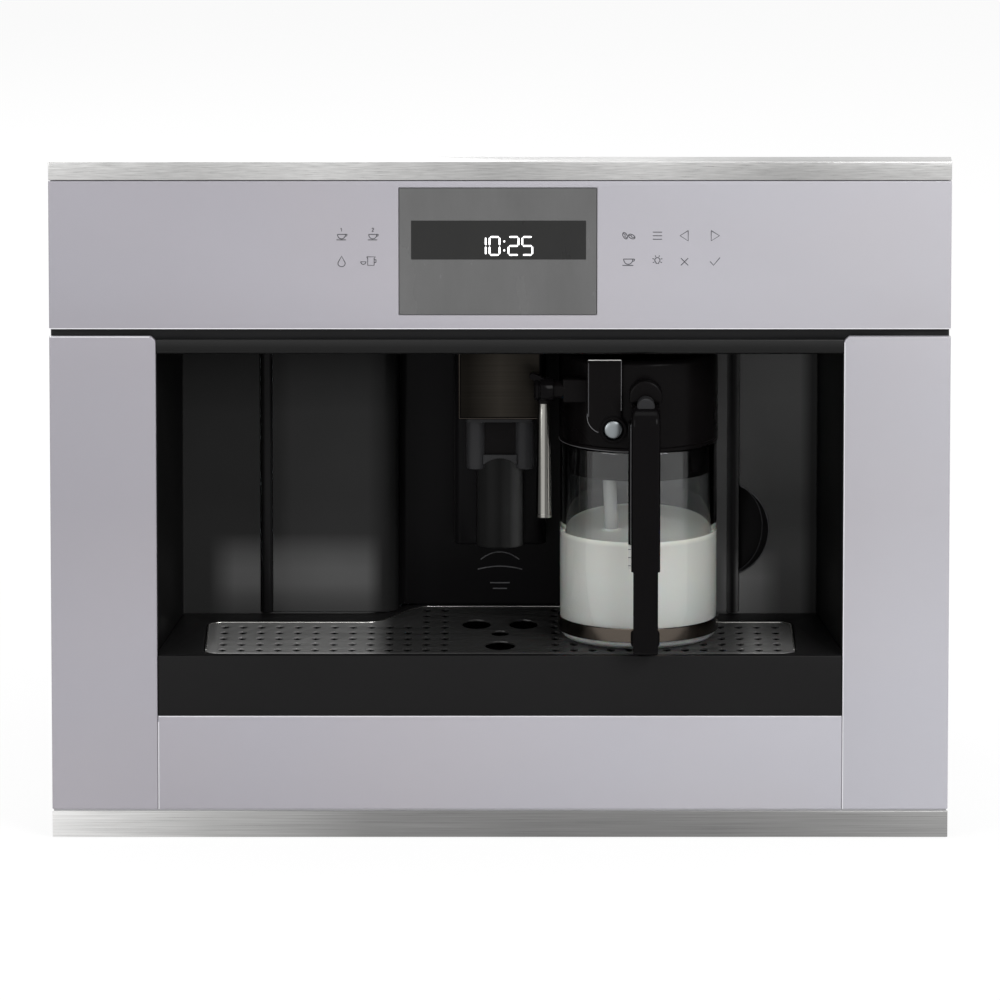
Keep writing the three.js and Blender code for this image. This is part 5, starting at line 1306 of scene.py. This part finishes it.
def rearSpots():
    # the rear panel's screws: a row along its top and bottom, three more up each side
    p = screwPlaces
    lowest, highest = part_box("rear_panel")
    spots = []
    for i in range(5):
        x = lowest.x + p["rearSide"] + i * (highest.x - lowest.x - 2 * p["rearSide"]) / 4
        spots += [(x, highest.y, z) for z in (lowest.z + p["rearEdge"], highest.z - p["rearEdge"])]
    for z in p["rearRises"]:
        spots += [(x, highest.y, z) for x in (lowest.x + p["rearInset"], highest.x - p["rearInset"])]
    return spots


def rearSinkings():
    # shallow dishes in the rear panel, so that the screw heads lie flush with it
    r, deep = screwSizes["head"] + 0.5 * mm, screwSizes["sink"]
    profile = [(0, -deep), (r - 0.3 * mm, -deep), (r + 0.3 * mm, deep), (0, deep)]
    dishes = copies(spun("sinking", profile, (0, 0, 0), "y", 16), rearSpots())
    cutAway(bpy.data.objects["rear_panel_sheet"], joined("sinkings", dishes))


def panScrew(axis, way):
    # pan head with a socket; way is 1 or -1, the side that it faces along the axis
    s = screwSizes
    r, h = s["head"], s["height"]
    profile = [(0, h * 0.3 * way), (s["recess"], h * 0.3 * way), (s["recess"], h * 0.98 * way),
               (r * 0.62, h * way), (r * 0.86, h * 0.8 * way), (r, h * 0.35 * way), (r, -0.2 * mm * way),
               (0, -0.2 * mm * way)]
    return spun("screw", profile, (0, 0, 0), axis, 12)


def flushScrew():
    s = screwSizes
    r, face, back = s["head"], -0.04 * mm, -s["sink"] - 0.1 * mm
    floor = face - 0.35 * mm
    profile = [(0, floor), (s["recess"], floor), (s["recess"], face), (r - 0.4 * mm, face),
               (r, face - 0.2 * mm), (r, back), (0, back)]
    return spun("screw", profile, (0, 0, 0), "y", 12)


def caseScrews():
    p = screwPlaces
    side, top = high("right_side_sheet").x, high("top_panel").z
    sideTop = high("right_side_sheet").z - p["sideInset"]
    pieces = copies(flushScrew(), rearSpots())
    pieces += copies(panScrew("z", 1), [(x, y, top) for y in p["topY"] for x in p["topX"]])
    pieces += copies(panScrew("x", 1), [(side, y, z) for y in p["sideY"] for z in (sideTop, p["sideLow"])])
    pieces += copies(panScrew("x", -1), [(-side, y, sideTop) for y in p["sideY"]])
    dress(joined("case_screws", pieces), "machine", "chrome", angle=40)


insideRows = [(node, node + "_moulding", width, 2, body, slot, look) for node, width, body, slot, look in (
    ("hopper_lid", 0.8, "hopper_cover", "black_plastic", "black"),
    ("powder_lid", 0.6, "powder_cover", "black_plastic", "black"),
    ("tank_lid", 0.6, "tank_cover", "black_plastic", "black"),
    ("power_rocker", 0.4, "rocker", "black_plastic", "gloss"),
    ("mains_inlet", 0.3, "machine", "black_plastic", "black"),
    ("grind_knob", 0.3, "grind_dial", "grey_plastic", "grey"),
    ("water_tank", 0.5, "tank", "clear_plastic", "tank"),
    ("bean_hopper", 0.4, "machine", "clear_plastic", "tank"),
    ("powder_chute", 0.3, "machine", "black_plastic", "black"),
)]
plainLooks = {
    "control_board": "board", "power_board": "board", "steam_nozzle": "chrome", "grinder_body": "grey",
    "lower_burr": "cast", "brew_frame": "grey", "brew_chamber": "black", "brew_spindle": "cast",
    "grounds_container": "black", "tank_coupler": "grey", "water_pump": "cast", "steam_boiler": "cast",
    "water_hose": "hose", "pressure_hose": "hose",
}


def paintPlain():
    # CAD nodes that keep their own mesh
    for node, look in plainLooks.items():
        nodes[node].data.materials.clear()
        nodes[node].data.materials.append(finishes[look])
        smooth(nodes[node], 35)


easeAll(sheetRows)
rearSinkings()
caseScrews()
easeAll(insideRows)
paintPlain()
print("case done")


# Floor, light and camera.

floorSizes = {"width": 30, "drop": 0.5 * mm, "white": 0.88}


def floorSheet():
    # matt floor, shown nearly white to the camera and in metal and glass
    bpy.ops.object.select_all(action="DESELECT")
    bpy.ops.mesh.primitive_plane_add(size=floorSizes["width"], location=(0, 0, -floorSizes["drop"]))
    floor = bpy.context.active_object
    floor.name = "studio_floor"
    sheet = Sheet("studio_floor", Base_Color=(0.9, 0.9, 0.9), Roughness=0.9, Specular_IOR_Level=0.0)
    mix = sheet.add("ShaderNodeMixShader", {}, {
        "Fac": sheet.backgroundRays() * floorSizes["white"],
        1: Wired(sheet, sheet.surface.outputs[0]), 2: sheet.add("ShaderNodeEmission")})
    sheet.feed(sheet.tree.nodes["Material Output"].inputs["Surface"], mix)
    floor.data.materials.append(sheet.material)


def studioWorld(level=0.62):
    # an even room that shows white to the camera and in metal and glass
    world = bpy.data.worlds.new("studio")
    bpy.context.scene.world = world
    world.use_nodes = True
    room = Nodes(world.node_tree)
    back = room.tree.nodes["Background"].inputs
    room.feed(back["Color"], (1, 1, 1))
    room.feed(back["Strength"], room.span(room.backgroundRays(), 0, 1, level, 1.0))


lampRows = {
    "key": {"at": (1.6, -2.4, 1.9), "size": (1.4, 1.4), "power": 62},
    "fill": {"at": (-2.0, -2.2, 1.2), "size": (1.2, 1.8), "power": 24},
    "top": {"at": (0.0, -0.2, 2.4), "size": (2.0, 1.4), "power": 17},
    "rear": {"at": (-0.8, 2.4, 1.6), "size": (1.6, 1.2), "power": 30},
}
lampAim = Vector((0, -0.05, 0.22))


def studioLamps():
    for name, row in lampRows.items():
        light = bpy.data.lights.new(name, "AREA")
        light.shape = "RECTANGLE"
        light.size, light.size_y = row["size"]
        light.energy = row["power"]
        lamp = linked(name + "_lamp", light)
        lamp.location = row["at"]
        lamp.rotation_euler = (lampAim - Vector(row["at"])).to_track_quat("-Z", "Y").to_euler()


cameraSizes = {"rise": 10.94, "distance": 8.0, "lens": 435.4, "sensor": 36.0, "lift": 0.8 * mm}


def photoCamera():
    c = cameraSizes
    data = bpy.data.cameras.new("photo_camera")
    data.sensor_width = c["sensor"]
    data.lens = c["lens"]
    data.clip_end = 100
    camera = linked("photo_camera", data)
    rise = math.radians(c["rise"])
    target = Vector((0, frontY, (cadBox[0][2] + cadBox[1][2]) / 2 + c["lift"]))
    camera.location = target + c["distance"] * Vector((0, -math.cos(rise), math.sin(rise)))
    camera.rotation_euler = (math.pi / 2 - rise, 0, 0)
    bpy.context.scene.camera = camera


floorSheet()
studioWorld()
studioLamps()
photoCamera()
bpy.context.scene.view_settings.view_transform = "Standard"
print("studio done")
